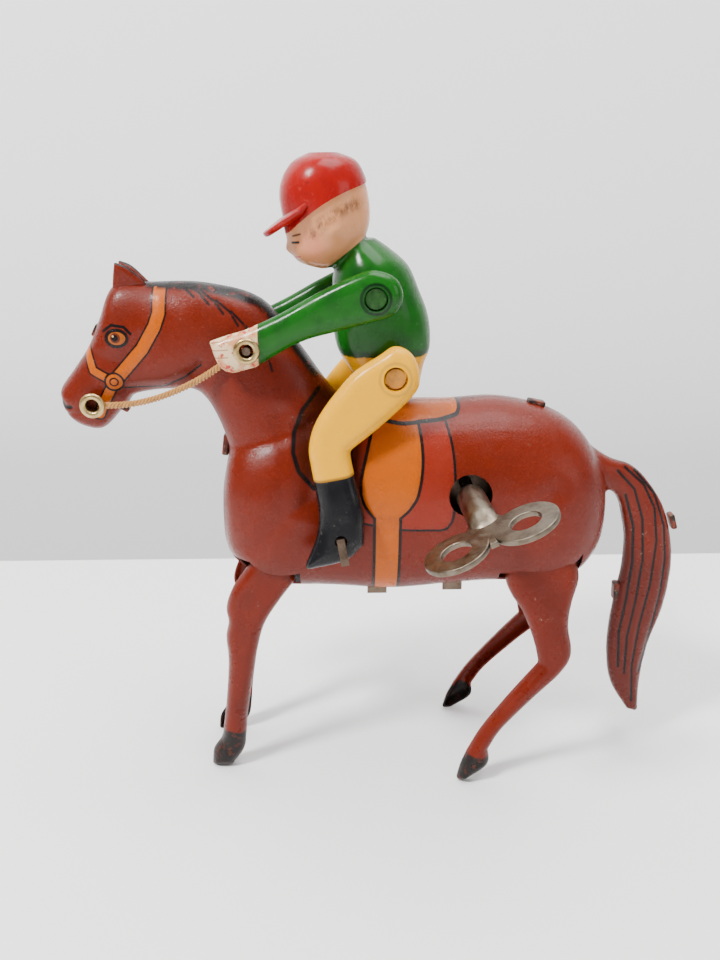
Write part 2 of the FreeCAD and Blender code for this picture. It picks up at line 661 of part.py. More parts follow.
def make_motor_frame():
    front, rear = size.front_axle_x, size.rear_axle_x
    low, high = size.plate_bottom, size.plate_top
    corners = [
        (front - 3.2, low + 1.5),
        (size.key_axis_x - 20.9 - TAB_HALF_WIDTH, low),
        (size.key_axis_x - 20.9 - TAB_HALF_WIDTH, low - 9.5),
        (size.key_axis_x - 20.9 + TAB_HALF_WIDTH, low - 9.5),
        (size.key_axis_x - 20.9 + TAB_HALF_WIDTH, low),
        (size.key_axis_x - 2.2 - TAB_HALF_WIDTH, low),
        (size.key_axis_x - 2.2 - TAB_HALF_WIDTH, low - 8.8),
        (size.key_axis_x - 2.2 + TAB_HALF_WIDTH, low - 8.8),
        (size.key_axis_x - 2.2 + TAB_HALF_WIDTH, low),
        (rear + 3.5, low + 2),
        (rear + 4.5, high - 3),
        (rear - 4, high),
        (front + 7, high - 2),
        (front - 3.2, high - 12),
    ]
    plate_middle = size.plate_half_gap + size.plate_wall / 2
    clearance = size.running_clearance
    holes = [
        (front, size.front_axle_height, size.axle_radius + clearance),
        (rear, size.rear_axle_height, size.axle_radius + clearance),
        (size.key_axis_x, size.key_axis_height, size.winding_arbor_radius + clearance),
        (crank_x, crank_height, size.train_arbor_radius + clearance),
        (Size(ESCAPE[0], repr(ESCAPE[0])), Size(ESCAPE[1], repr(ESCAPE[1])),
         size.train_arbor_radius + clearance),
        (Size(PALLET[0], repr(PALLET[0])), Size(PALLET[1], repr(PALLET[1])),
         size.train_arbor_radius + clearance),
        (size.stirrup_x, size.stirrup_height, size.stirrup_radius + clearance),
    ]
    flat_body("motor_plate_left", size.plate_wall, -plate_middle, holes, corners)
    flat_body("motor_plate_right", size.plate_wall, plate_middle, holes, corners)
    pillars = [drum(x, z, float(size.pillar_radius), -half_gap, half_gap) for x, z in pillar_places()]
    shape_node("plate_pillars", Part.makeCompound(pillars))


def make_mainspring():
    """The wound ribbon, drawn as one turn of strip round the coil's outside and one round its inside, joined."""
    x, z = KEY
    outer = float(size.spring_radius)
    inner = float(size.winding_arbor_radius) + 1.6
    start, end = 0.9, half_gap - 0.9
    points, turns, steps = [], 6, 24
    for index in range(turns * steps + 1):
        share = index / (turns * steps)
        radius = inner + (outer - inner) * share
        angle = 2 * math.pi * index / steps
        points.append((radius, angle))
    strip = 0.45
    path = [Vector(x + r * math.cos(a), start, z + r * math.sin(a)) for r, a in points]
    path += [Vector(x + (r - strip) * math.cos(a), start, z + (r - strip) * math.sin(a)) for r,
        a in reversed(points)]
    ribbon = Part.Face(Part.makePolygon(path + [path[0]])).extrude(Vector(0, end - start, 0))
    shape_node("mainspring", ribbon)


def make_winding():
    x, z = KEY
    side = float(size.body_half_width)
    inner_end = size.plate_half_gap + size.plate_wall + 0.8
    tip = -(size.body_half_width + 5.0)
    arbor = rod("winding_arbor_bar", size.winding_arbor_radius, tip, inner_end, size.key_axis_x,
        size.key_axis_height)
    grip_radius = size.key_socket_radius - size.key_socket_wall - size.side_gap
    grip_start, grip_end = tip + 0.5, tip + 3.5
    grip = rod("winding_arbor_grip", grip_radius, grip_start, grip_end, size.key_axis_x,
        size.key_axis_height)
    fused("winding_arbor", arbor, grip)
    ratchet = star_wheel(x, z, 4.4, 12, float(size.winding_arbor_radius), -4.6, -4.6 + wheel_wall)
    shape_node("ratchet_wheel", ratchet)
    shape_node("winding_key", winding_key(x, z, side))


def winding_key(x, z, side):
    """Socket flattened into a plate with two holed wings; the loose key leans back and hangs down."""
    wall = float(size.key_plate_wall)
    half_span = float(size.key_half_span)
    lobe = float(size.key_lobe_radius)
    eye = float(size.key_eye_radius)
    reach = float(size.key_reach)
    outer = float(size.key_socket_radius)
    bore = outer - float(size.key_socket_wall)
    socket_start, socket_end = 0.55 * lobe, reach - 1.0
    wing_x = half_span - lobe
    key = block((-wing_x, wing_x), (-0.46 * lobe, lobe), (-wall / 2, wall / 2))
    for sign in (-1, 1):
        wing = Part.makeCylinder(lobe, wall, Vector(sign * wing_x, 0, -wall / 2))
        key = key.fuse(wing)
    for sign in (-1, 1):
        key = key.cut(Part.makeCylinder(eye, 2 * wall, Vector(sign * wing_x, 0, -wall)))
    key = key.fuse(drum(0, 0, outer, socket_start, socket_end))
    key = key.cut(drum(0, 0, bore, lobe + 1.0, socket_end + 1))
    key.rotate(Vector(), AXIS_Y, -float(size.key_turn))
    grip = Vector(0, reach - 3.0, 0)
    key.rotate(grip, Vector(0, 0, 1), float(size.key_lean))
    key.rotate(grip, Vector(1, 0, 0), float(size.key_droop))
    key.translate(Vector(x, -side - reach, z))
    return key.cut(block((x - half_span, x + half_span), (-side - GAP, 0),
        (z - half_span, z + half_span)))


def make_great_wheel():
    x, z = KEY
    start = -3.2
    bore = float(size.winding_arbor_radius) + FIT
    wheel = involute_gear(int(size.great_teeth.value), float(size.great_module), bore, start,
        start + wheel_wall, x, z, 0.0)
    stud_x, stud_z = direction_from(KEY, 60, 8.2)
    stud = drum(stud_x, stud_z, 0.6, start - 2.2, start)
    shape_node("great_wheel", wheel.fuse(stud))
    click = drum(stud_x, stud_z, 1.5, start - 1.2, start - 0.2)
    tip = direction_from(KEY, 100, 4.75)
    nose = Part.makePolygon([
        Vector(stud_x - 0.9, start - 1.2, stud_z + 1.1),
        Vector(tip[0] - 0.6, start - 1.2, tip[1] + 1.6),
        Vector(tip[0], start - 1.2, tip[1]),
        Vector(stud_x + 0.4, start - 1.2, stud_z - 1.2),
        Vector(stud_x - 0.9, start - 1.2, stud_z + 1.1),
    ])
    click = click.fuse(Part.Face(nose).extrude(Vector(0, 1.0, 0))).cut(drum(stud_x, stud_z,
        0.6 + FIT, start - 3, start))
    shape_node("click", click)
    coil = Part.makeTorus(0.95, 0.3, Vector(stud_x, start - 1.7, stud_z), AXIS_Y)
    shape_node("click_spring", coil)
    return stud_x, stud_z


def make_crank():
    x, z = CRANK
    train = float(size.train_arbor_radius)
    great_phase = 0.0
    phase = mesh_phase(CRANK_ANGLE, size.crank_pinion_teeth.value, size.great_teeth.value, great_phase)
    pinion = involute_gear(int(size.crank_pinion_teeth.value), float(size.great_module), 0, -3.9,
        -1.7, x, z, phase)
    disc_start = plate_out + GAP
    disc_wall = 0.7
    end = disc_start + disc_wall
    arbor = drum(x, z, train, -end, end).fuse(pinion)
    shape_node("crank_arbor", arbor)
    wheel = involute_gear(int(size.second_teeth.value), float(size.second_module), train, -0.4,
        -0.4 + wheel_wall, x, z, 0.0)
    shape_node("second_wheel", wheel)
    for label, side, angle in (("crank_disc_left", -1, FRONT_PIN_ANGLE),
            ("crank_disc_right", 1, REAR_PIN_ANGLE)):
        low_y, high_y = sorted((side * disc_start, side * end))
        disc = drum(x, z, float(size.crank_disc_radius), low_y, high_y).cut(drum(x, z, train, -60, 60))
        pin_x, pin_z = direction_from(CRANK, angle, float(size.crank_throw))
        low_y, high_y = sorted((side * end, side * (end + 0.3)))
        disc = disc.fuse(drum(pin_x, pin_z, float(size.crank_pin_radius), low_y, high_y))
        shape_node(label, disc)
    return end + 0.3


def make_escape():
    x, z = ESCAPE
    train = float(size.train_arbor_radius)
    phase = mesh_phase(ESCAPE_ANGLE, size.escape_pinion_teeth.value, size.second_teeth.value, 0.0)
    pinion = involute_gear(int(size.escape_pinion_teeth.value), float(size.second_module), 0, -1.0,
        1.2, x, z, phase)
    end = plate_out
    shape_node("escape_arbor", drum(x, z, train, -end, end).fuse(pinion))
    star = star_wheel(x, z, float(size.escape_radius), int(size.escape_teeth.value), train, 2.2,
        2.2 + wheel_wall)
    shape_node("escape_wheel", star)
    px, pz = PALLET
    shape_node("pallet_arbor", drum(px, pz, train, -end, end))
    arms = block((px - 1.0, px + 0.9), (2.2, 3.0), (pz - 4.6, pz + 4.6))
    for sign in (-1, 1):
        low_z, high_z = sorted((pz + sign * 3.9, pz + sign * 4.8))
        arms = arms.fuse(block((px, px + 2.4), (2.2, 3.0), (low_z, high_z)))
    arms = arms.fuse(drum(px, pz, 1.8, 2.2, 3.0)).cut(drum(px, pz, train, -60, 60))
    shape_node("pallet", arms)


def bar(start_point, end_point, middle, holes):
    """A flat link between two points, round at both ends, with a hole of the given radius at each."""
    half = float(size.link_half_width)
    wall = float(size.link_wall)
    run = Vector(end_point[0] - start_point[0], 0, end_point[1] - start_point[1])
    normal = Vector(-run.z, 0, run.x).normalize() * half
    first = Vector(start_point[0], middle - wall / 2, start_point[1])
    second = first + run
    outline_points = [first + normal, second + normal, second - normal, first - normal, first + normal]
    piece = Part.Face(Part.makePolygon(outline_points)).extrude(Vector(0, wall, 0))
    for point, hole in zip((start_point, end_point), holes):
        piece = piece.fuse(drum(point[0], point[1], half, middle - wall / 2, middle + wall / 2))
    for point, hole in zip((start_point, end_point), holes):
        if hole:
            piece = piece.cut(drum(point[0], point[1], hole, -60, 60))
    return piece


def make_linkage(crank_pin_end):
    """Lever on each axle and the link that its crank pulls; the link stops short of the crank pin."""
    wall = float(size.link_wall)
    pin = float(size.crank_pin_radius)
    reach = float(size.lever_reach)
    lever_middle = plate_out + GAP + wall / 2
    link_middle = crank_pin_end + GAP + wall / 2
    for word, side, axle_x, axle_z, lever_angle, crank_pin_angle in (
        ("front", -1, float(size.front_axle_x), float(size.front_axle_height), 80.0, FRONT_PIN_ANGLE),
        ("rear", 1, float(size.rear_axle_x), float(size.rear_axle_height), 100.0, REAR_PIN_ANGLE),
    ):
        axle = (axle_x, axle_z)
        tip = direction_from(axle, lever_angle, reach)
        lever = bar(axle, tip, side * lever_middle, (float(size.axle_radius), 0))
        low_y, high_y = sorted((side * (lever_middle + wall / 2), side * (link_middle + wall / 2)))
        lever = lever.fuse(drum(tip[0], tip[1], pin, low_y, high_y))
        shape_node(word + "_leg_lever", lever)
        crank_pin = direction_from(CRANK, crank_pin_angle, float(size.crank_throw))
        link = bar(tip, crank_pin, side * link_middle, (pin + FIT, pin + FIT))
        shape_node(word + "_link", link)


# ---------------------------------------------------------------- rider
RIDER_LEG = [
    [(-0.8, 109.6), (2.7, 111.6), (6.4, 109.8), (8.1, 105.2), (7, 101), (-0.1, 94.2), (-7.4, 88.4)],
    [(-7.4, 88.4), (-7.1, 86), (-6, 81), (-4.4, 74.5), (-4.2, 66.8)],
    [(-4.2, 66.8), (-8.6, 62.9), (-17.1, 60.9)],
    [(-17.1, 60.9), (-17.7, 62), (-15.2, 68.5), (-14.6, 74.5), (-15.9, 83), (-16.6, 89.5),
     (-14.2, 96.4), (-7, 105.4), (-0.8, 109.6)],
]
RIDER_ARM = [
    [(-30.5, 115), (-22.6, 118.6), (-14.3, 123.1), (-6.4, 126.8), (-1.9, 127.9), (2.6, 126.2),
     (4.2, 122.4), (2.3, 118.5), (-2.4, 116.8), (-10.2, 114.8), (-18.6, 112.3), (-28.4, 106.8)],
    [(-28.4, 106.8), (-33.9, 105.6), (-36.6, 107.8), (-38.2, 112.6)],
    [(-38.2, 112.6), (-34, 114), (-30.5, 115)],
]


def boot_lean():
    """Degrees that each rider's leg leans out from the hip to the boot."""
    spread = float(size.boot_half_track) - float(size.rider_hip_half_track)
    return math.degrees(math.atan2(spread, float(size.hip_height) - float(size.stirrup_height)))


def make_rider_legs():
    wall = float(size.rider_leg_wall)
    hip = (float(size.hip_x), float(size.hip_height))
    foot = (float(size.stirrup_x), float(size.stirrup_height))
    lean = boot_lean()
    for label, side in (("rider_leg_left", -1), ("rider_leg_right", 1)):
        leg = slab(outline(RIDER_LEG, 0), -wall / 2, wall / 2)
        leg.rotate(Vector(0, 0, hip[1]), Vector(1, 0, 0), side * lean)
        leg.translate(Vector(0, side * float(size.rider_hip_half_track), 0))
        leg = leg.cut(drum(hip[0], hip[1], float(size.rider_pin_radius) + FIT, -60, 60))
        leg = leg.cut(drum(foot[0], foot[1], float(size.stirrup_hole_radius), -60, 60))
        shape_node(label, leg)


def make_stirrup_bar():
    """A bar through the body whose flattened ends pass through the boots and are bent down."""
    x, z = float(size.stirrup_x), float(size.stirrup_height)
    end = float(size.boot_half_track) + float(size.rider_leg_wall) / 2 + 0.55
    radius = float(size.stirrup_radius)
    solid = drum(x, z, radius, -end, end)
    for side in (-1, 1):
        low_y, high_y = sorted((side * end, side * (end + 0.6)))
        tail = block((x - radius, x + radius), (low_y, high_y), (z - 5.4, z + radius))
        tail.rotate(Vector(x, 0, z), AXIS_Y, -10)
        tail.rotate(Vector(x, side * end, z), Vector(1, 0, 0), side * boot_lean())
        solid = solid.fuse(tail)
    shape_node("stirrup_bar", solid)


def make_rider_body():
    half = float(size.rider_half_width)
    torso = [
        ((-4.5, 99.4), (9.2, 99.4), 0.8 * half),
        ((-8.0, 105), (10.2, 105), 0.95 * half),
        ((-10.8, 112), (11.6, 111), half),
        ((-11.4, 119), (10.3, 118.5), half),
        ((-10.8, 125), (7.6, 125.5), half),
        ((-9.4, 129), (3.4, 130.4), 0.78 * half),
        ((-9, 132), (-1.4, 133.4), 0.5 * half),
    ]
    head = [
        ((-15.5, 127.8), (-9.5, 128.6), 0.42 * half),
        ((-19.6, 130.6), (-5.6, 131.8), 0.74 * half),
        ((-21.2, 134.4), (-2.9, 135.6), 0.88 * half),
        ((-21.9, 138.4), (-2.4, 139.4), 0.93 * half),
        ((-22.8, 142.4), (-2.9, 143.4), 0.94 * half),
        ((-22, 146.4), (-4.1, 147.4), 0.88 * half),
        ((-19.4, 150), (-6.2, 150.4), 0.66 * half),
        ((-15.4, 152.3), (-10.4, 152.3), 0.3 * half),
    ]
    wall = 0.8
    figure = None
    for ribs in (torso, head):
        solid = lying_loft(ribs, 0.0)
        figure = solid if figure is None else figure.fuse(solid)
    figure = figure.cut(lying_loft(torso[:-1], wall))
    opening = block((-3.5 * STRETCH, 8 * STRETCH), (-4, 4), (95 * RAISE, 102 * RAISE))
    figure = figure.cut(opening)
    runs = [[(-25.4, 134.4), (-23.4, 138.8), (-21, 143)], [(-21, 143), (-14, 141.6)],
        [(-14, 141.6), (-21.4, 135.4), (-25.4, 134.4)]]
    figure = figure.fuse(slab(outline(runs, 0), -0.7 * half, 0.7 * half))
    for x, z in ((size.hip_x, size.hip_height), (size.shoulder_x, size.shoulder_height)):
        figure = figure.cut(drum(float(x), float(z), float(size.rider_pin_radius), -60, 60))
    figure = sorted(figure.Solids, key=lambda piece: piece.Volume)[-1]
    shape_node("rider_body", figure)
    leg_out = size.rider_hip_half_track + size.rider_leg_wall / 2 - 0.6
    node(rod("hip_pin_bar", size.rider_pin_radius, -leg_out, leg_out, size.hip_x, size.hip_height),
        "hip_pin")
    arm_out = size.rider_arm_half_track + size.rider_arm_wall / 2 - 0.6
    node(rod("shoulder_pin_bar", size.rider_pin_radius, -arm_out, arm_out, size.shoulder_x,
        size.shoulder_height), "shoulder_pin")


def make_rider_arms():
    wall = float(size.rider_arm_wall)
    shoulder = (float(size.shoulder_x), float(size.shoulder_height))
    pin = (float(size.neck_pin_x), float(size.neck_pin_height))
    bore = float(size.eyelet_hole_radius)
    barrel = bore + float(size.eyelet_wall)
    inward = float(size.rider_arm_half_track) - float(size.hand_half_track)
    toe_in = math.degrees(math.atan2(inward, shoulder[0] - pin[0]))
    for hand, side in (("left", -1), ("right", 1)):
        arm = slab(outline(RIDER_ARM, 0), -wall / 2, wall / 2)
        arm.rotate(Vector(shoulder[0], 0, 0), Vector(0, 0, 1), side * toe_in)
        arm.translate(Vector(0, side * float(size.rider_arm_half_track), 0))
        arm = arm.cut(drum(shoulder[0], shoulder[1], float(size.rider_pin_radius) + FIT, -60, 60))
        arm = arm.cut(drum(pin[0], pin[1], barrel, -60, 60))
        shape_node("rider_arm_" + hand, arm)
        inner = float(size.hand_half_track) - wall / 2
        outer = float(size.hand_half_track) + wall / 2 + 0.15
        low_y, high_y = sorted((side * inner, side * (outer + 0.7)))
        eyelet = drum(pin[0], pin[1], barrel, low_y, high_y)
        low_y, high_y = sorted((side * outer, side * (outer + 0.7)))
        eyelet = eyelet.fuse(drum(pin[0], pin[1], float(size.eyelet_radius), low_y, high_y))
        eyelet = eyelet.cut(drum(pin[0], pin[1], bore, -60, 60))
        shape_node("hand_eyelet_" + hand, eyelet)


def make_pins_and_reins():
    end = size.hand_half_track + size.rider_arm_wall / 2 + 0.5
    node(rod("neck_pin_bar", size.neck_pin_radius, -end, end, size.neck_pin_x,
        size.neck_pin_height), "neck_pin")
    x, z = float(size.mouth_x), float(size.mouth_height)
    barrel = float(size.eyelet_hole_radius) + float(size.eyelet_wall)
    side_out = float(size.head_half_width) + 2 * float(size.rein_radius) + 0.5
    eyelet = drum(x, z, barrel, -side_out, side_out)
    for low_y, high_y in ((-side_out - 0.5, -side_out + 0.2), (side_out - 0.2, side_out + 0.5)):
        eyelet = eyelet.fuse(drum(x, z, float(size.eyelet_radius), low_y, high_y))
    shape_node("mouth_eyelet", eyelet.cut(drum(x, z, float(size.eyelet_hole_radius), -60, 60)))
    for hand, side in (("left", -1), ("right", 1)):
        rein = cord_tube([(px * STRETCH, side * py, pz * RAISE) for px, py, pz in REIN_ROUTE],
            float(size.rein_radius), "rein_" + hand)
        shape_node("rein_" + hand, rein)


# The rein's route on the far side: along the cheek, in a shallow sag, and up behind the hand.
REIN_ROUTE = [
    (-63.2, 7.5, 97.2),
    (-58.5, 7.9, 97.3),
    (-52.3, 8.4, 98.6),
    (-46.2, 8.8, 100.9),
    (-40.8, 9.0, 103.6),
    (-36.4, 9.05, 106.5),
    (-31.0, 9.1, 110.0),
]


def cord_tube(points, radius, name):
    """Straight runs joined by tangent arcs, swept by a circle."""
    corners = [Vector(*point) for point in points]
    edges, radii = [], []
    start = corners[0]
    for before, corner, after in zip(corners, corners[1:], corners[2:]):
        into = (corner - before).normalize()
        out = (after - corner).normalize()
        turn = into.getAngle(out)
        shorter = min((corner - before).Length, (after - corner).Length)
        setback = 0.45 * shorter
        radii.append(setback / math.tan(turn / 2))
        entry, leave = corner - into * setback, corner + out * setback
        away = (out - into).normalize()
        middle = corner + away * (radii[-1] / math.cos(turn / 2) - radii[-1])
        edges.append(Part.LineSegment(start, entry).toShape())
        edges.append(Part.Arc(entry, middle, leave).toShape())
        start = leave
    edges.append(Part.LineSegment(start, corners[-1]).toShape())
    path = Part.Wire(edges)
    ring = Part.Circle(corners[0], (corners[1] - corners[0]), radius).toShape()
    tube = path.makePipeShell([Part.Wire([ring])], True, False)
    expected = math.pi * radius ** 2 * path.Length
    print(name, "length", round(path.Length, 2), "radii", [round(r, 1) for r in radii])
    print(name, "volume over section times length", round(tube.Volume / expected, 4))
    return tube


def make_lift_rod():
    """A flat strip up through the saddle that pushes the rider; it stands over a cam on the crank arbor."""
    x = float(size.lift_rod_x)
    half = float(size.lift_rod_half_width)
    foot = CRANK[1] + float(size.second_teeth) * float(size.second_module) / 2 + 1.2
    top = float(size.hip_height) - float(size.rider_pin_radius) - GAP
    solid = block((x - half, x + half), (-0.4, 0.4), (foot, top))
    shape_node("lift_rod", solid)


make_shells()
make_legs()
make_motor_frame()
make_mainspring()
make_winding()
make_great_wheel()
pin_end = make_crank()
make_escape()
make_linkage(pin_end)
make_stirrup_bar()
make_rider_legs()
make_rider_body()
make_rider_arms()
make_pins_and_reins()
make_lift_rod()

doc.recompute()
for item in doc.Objects:
    if "Invalid" in item.State or "Error" in item.State:
        raise RuntimeError("%s failed: %s" % (item.Label, item.State))
for label, obj in nodes.items():
    if obj.Shape.isNull() or not obj.Shape.isValid() or obj.Shape.Volume <= 0:
        raise RuntimeError(label + " has no valid solid")

os.makedirs("parts", exist_ok=True)
for label, obj in nodes.items():
    obj.Shape.exportStep("parts/%s.step" % label)
    box = obj.Shape.BoundBox
    print("%-18s %2d solid(s) %9.2f mm3  x %7.2f %7.2f  y %7.2f %7.2f  z %7.2f %7.2f" % (
        label, len(obj.Shape.Solids), obj.Shape.Volume, box.XMin, box.XMax, box.YMin, box.YMax, box.ZMin, box.ZMax))
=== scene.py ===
"""Looks of the wind-up tin horse and its celluloid jockey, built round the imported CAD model.

Places are given in millimetres in the toy's own frame: x runs from the head to the tail, z up from the
floor, and y across from the seam, negative on the near side. at() turns such a place into the frame's metres.
"""

import json
import math

import bmesh
import bpy
import numpy as np
from mathutils import Matrix, Vector


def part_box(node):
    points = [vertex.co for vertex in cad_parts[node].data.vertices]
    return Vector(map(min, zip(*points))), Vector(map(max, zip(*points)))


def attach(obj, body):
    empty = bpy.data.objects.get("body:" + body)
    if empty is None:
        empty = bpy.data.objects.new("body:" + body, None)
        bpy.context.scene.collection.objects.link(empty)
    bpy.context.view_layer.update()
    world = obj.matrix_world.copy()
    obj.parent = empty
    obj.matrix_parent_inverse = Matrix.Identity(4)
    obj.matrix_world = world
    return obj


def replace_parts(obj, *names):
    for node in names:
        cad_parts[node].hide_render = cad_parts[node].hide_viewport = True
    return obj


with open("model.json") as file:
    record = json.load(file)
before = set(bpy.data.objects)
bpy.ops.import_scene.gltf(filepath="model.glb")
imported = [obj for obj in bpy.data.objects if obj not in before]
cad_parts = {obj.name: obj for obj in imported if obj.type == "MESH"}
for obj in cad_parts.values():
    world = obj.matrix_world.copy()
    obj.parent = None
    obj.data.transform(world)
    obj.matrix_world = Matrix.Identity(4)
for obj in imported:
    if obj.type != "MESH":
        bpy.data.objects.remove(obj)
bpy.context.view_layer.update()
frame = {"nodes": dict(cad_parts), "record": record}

# ---------------------------------------------------------------- places taken from the frame
NEAR_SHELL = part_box("body_shell_left")
FAR_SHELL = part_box("body_shell_right")
SEAM = (NEAR_SHELL[0][1] + FAR_SHELL[1][1]) * 500
SIDE = (FAR_SHELL[1][1] - NEAR_SHELL[0][1]) * 500


def at(x, z, y=0.0):
    return Vector((x, y + SEAM, z)) / 1000


def middle(name):
    """(x, z) of a node's middle, in millimetres."""
    low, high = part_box(name)
    return ((low[0] + high[0]) * 500, (low[2] + high[2]) * 500)


SHOULDER = middle("shoulder_pin")
HIP = middle("hip_pin")
MOUTH = middle("mouth_eyelet")
HAND = middle("neck_pin")
KEY_AXIS = middle("winding_arbor")
FRONT_AXLE = middle("front_leg_axle")
REAR_AXLE = middle("rear_leg_axle")

TIN = 0.5
NEAR, FAR = -1, 1


# ---------------------------------------------------------------- mesh helpers
def catmull(points, steps):
    """A smooth run through the points, as an array."""
    rows = [np.array(point, float) for point in points]
    rows = [2 * rows[0] - rows[1]] + rows + [2 * rows[-1] - rows[-2]]
    out = []
    for a, b, c, d in zip(rows, rows[1:], rows[2:], rows[3:]):
        for step in range(steps):
            t = step / steps
            square = (2 * a - 5 * b + 4 * c - d) * t**2
            cube = (3 * b - a - 3 * c + d) * t**3
            out.append(0.5 * (2 * b + (c - a) * t + square + cube))
    out.append(rows[-2])
    return np.array(out)


def closed_outline(runs, steps=6):
    """A closed (x, z) outline made of smooth runs that meet at corners."""
    points = []
    for run in runs:
        part = catmull(run, steps) if len(run) > 2 else np.array(run, float)
        points.extend(part[:-1])
    return np.array(points)


def new_object(name, mesh):
    obj = bpy.data.objects.new(name, mesh)
    bpy.context.scene.collection.objects.link(obj)
    return obj


def mesh_from(name, vertices, faces):
    mesh = bpy.data.meshes.new(name)
    mesh.from_pydata([tuple(v) for v in vertices], [], faces)
    mesh.validate()
    return new_object(name, mesh)


def applied(obj):
    """Bakes the modifiers into the mesh."""
    depsgraph = bpy.context.evaluated_depsgraph_get()
    mesh = bpy.data.meshes.new_from_object(obj.evaluated_get(depsgraph))
    old = obj.data
    obj.modifiers.clear()
    obj.data = mesh
    if old.users == 0:
        bpy.data.meshes.remove(old)
    return obj


def remesh(obj, voxel, smooth_steps=0, factor=0.5):
    change = obj.modifiers.new("remesh", "REMESH")
    change.mode = "VOXEL"
    change.voxel_size = voxel / 1000
    if smooth_steps:
        soften = obj.modifiers.new("soften", "SMOOTH")
        soften.factor = factor
        soften.iterations = smooth_steps
    return applied(obj)


def shade_smooth(obj, angle=40):
    obj.data.polygons.foreach_set("use_smooth", [True] * len(obj.data.polygons))
    if angle < 180:
        obj.data.set_sharp_from_angle(angle=math.radians(angle))
    return obj


def cut(obj, tool, operation="DIFFERENCE"):
    change = obj.modifiers.new("cut", "BOOLEAN")
    change.object = tool
    change.operation = operation
    change.solver = "EXACT"
    applied(obj)
    bpy.data.objects.remove(tool)
    return obj


def join(name, objects):
    """One object from several meshes."""
    total = bmesh.new()
    for obj in objects:
        obj.data.transform(obj.matrix_world)
        total.from_mesh(obj.data)
        bpy.data.objects.remove(obj)
    mesh = bpy.data.meshes.new(name)
    total.to_mesh(mesh)
    total.free()
    return new_object(name, mesh)


def tube_between(name, x, z, radius, start, end, sides=48):
    """A plain cylinder along y, used as a cutter or a boss."""
    ring = [(math.cos(2 * math.pi * i / sides), math.sin(2 * math.pi * i / sides)) for i in range(sides)]
    vertices = [at(x + radius * c, z + radius * s, y) for y in (start, end) for c, s in ring]
    faces = [[i, (i + 1) % sides, sides + (i + 1) % sides, sides + i] for i in range(sides)]
    faces += [list(range(sides))[::-1], list(range(sides, 2 * sides))]
    obj = mesh_from(name, vertices, faces)
    outward(obj)
    return obj


def outward(obj):
    work = bmesh.new()
    work.from_mesh(obj.data)
    bmesh.ops.recalc_face_normals(work, faces=work.faces)
    work.to_mesh(obj.data)
    work.free()
    return obj


def box_between(name, x_span, y_span, z_span):
    vertices = [at(x, z, y) for x in x_span for y in y_span for z in z_span]
    faces = [[0, 1, 3, 2], [4, 6, 7, 5], [0, 4, 5, 1], [2, 3, 7, 6], [0, 2, 6, 4], [1, 5, 7, 3]]
    return outward(mesh_from(name, vertices, faces))


def lathe(name, x, z, profile, sides=56):
    """A closed profile of (radius, y) turned about the y axis through (x, z)."""
    count = len(profile)
    vertices = []
    for i in range(sides):
        angle = 2 * math.pi * i / sides
        vertices += [at(x + r * math.cos(angle), z + r * math.sin(angle), y) for r, y in profile]
    faces = []
    for i in range(sides):
        a, b = i * count, (i + 1) % sides * count
        faces += [[a + k, a + (k + 1) % count, b + (k + 1) % count, b + k] for k in range(count)]
    return outward(mesh_from(name, vertices, faces))


def positions(obj):
    """The vertices as (x, y, z) in the toy's millimetres."""
    flat = np.empty(len(obj.data.vertices) * 3)
    obj.data.vertices.foreach_get("co", flat)
    out = flat.reshape(-1, 3) * 1000
    out[:, 1] -= SEAM
    return out


def set_positions(obj, points):
    out = points.copy()
    out[:, 1] += SEAM
    obj.data.vertices.foreach_set("co", (out / 1000).ravel())
    obj.data.update()


def edge_distance(points, outline):
    """Distance of each (x, z) point from a closed outline."""
    best = np.full(len(points), 1e9)
    for a, b in zip(outline, np.roll(outline, -1, axis=0)):
        along = b - a
        share = np.clip(((points - a) @ along) / max(along @ along, 1e-12), 0, 1)
        best = np.minimum(best, np.linalg.norm(points - (a + share[:, None] * along), axis=1))
    return best


def inside(points, outline):
    """Which (x, z) points lie inside a closed outline."""
    result = np.zeros(len(points), bool)
    for a, b in zip(outline, np.roll(outline, -1, axis=0)):
        crosses = (a[1] > points[:, 1]) != (b[1] > points[:, 1])
        slope = (b[0] - a[0]) / (b[1] - a[1] if b[1] != a[1] else 1e-12)
        result ^= crosses & (points[:, 0] < a[0] + slope * (points[:, 1] - a[1]))
    return result


def smoothstep(value):
    value = np.clip(value, 0, 1)
    return value * value * (3 - 2 * value)


def slab(name, outline, half_depth):
    """A flat closed piece of an outline, between y = -half_depth and y = half_depth."""
    count = len(outline)
    vertices = [at(x, z, y) for y in (-half_depth, half_depth) for x, z in outline]
    faces = [list(range(count)), list(range(count, 2 * count))[::-1]]
    faces += [[i, (i + 1) % count, count + (i + 1) % count, count + i] for i in range(count)]
    obj = outward(mesh_from(name, vertices, faces))
    work = bmesh.new()
    work.from_mesh(obj.data)
    bmesh.ops.triangulate(work, faces=[face for face in work.faces if len(face.verts) > 4])
    work.to_mesh(obj.data)
    work.free()
    return obj


def pillow(name, outline, half_depth, reach, voxel):
    """A flat piece whose faces are crowned: full depth where the edge is further away than reach."""
    obj = remesh(slab(name, outline, half_depth), voxel)
    points = positions(obj)
    far = edge_distance(points[:, [0, 2]], outline)
    far[~inside(points[:, [0, 2]], outline)] = 0
    crown = np.sqrt(1 - (1 - np.clip(far / reach, 0, 1)) ** 2)
    points[:, 1] = points[:, 1] / half_depth * (half_depth * np.maximum(crown, 0.04))
    set_positions(obj, points)
    soften = obj.modifiers.new("soften", "SMOOTH")
    soften.factor = 0.5
    soften.iterations = 3
    return applied(obj)


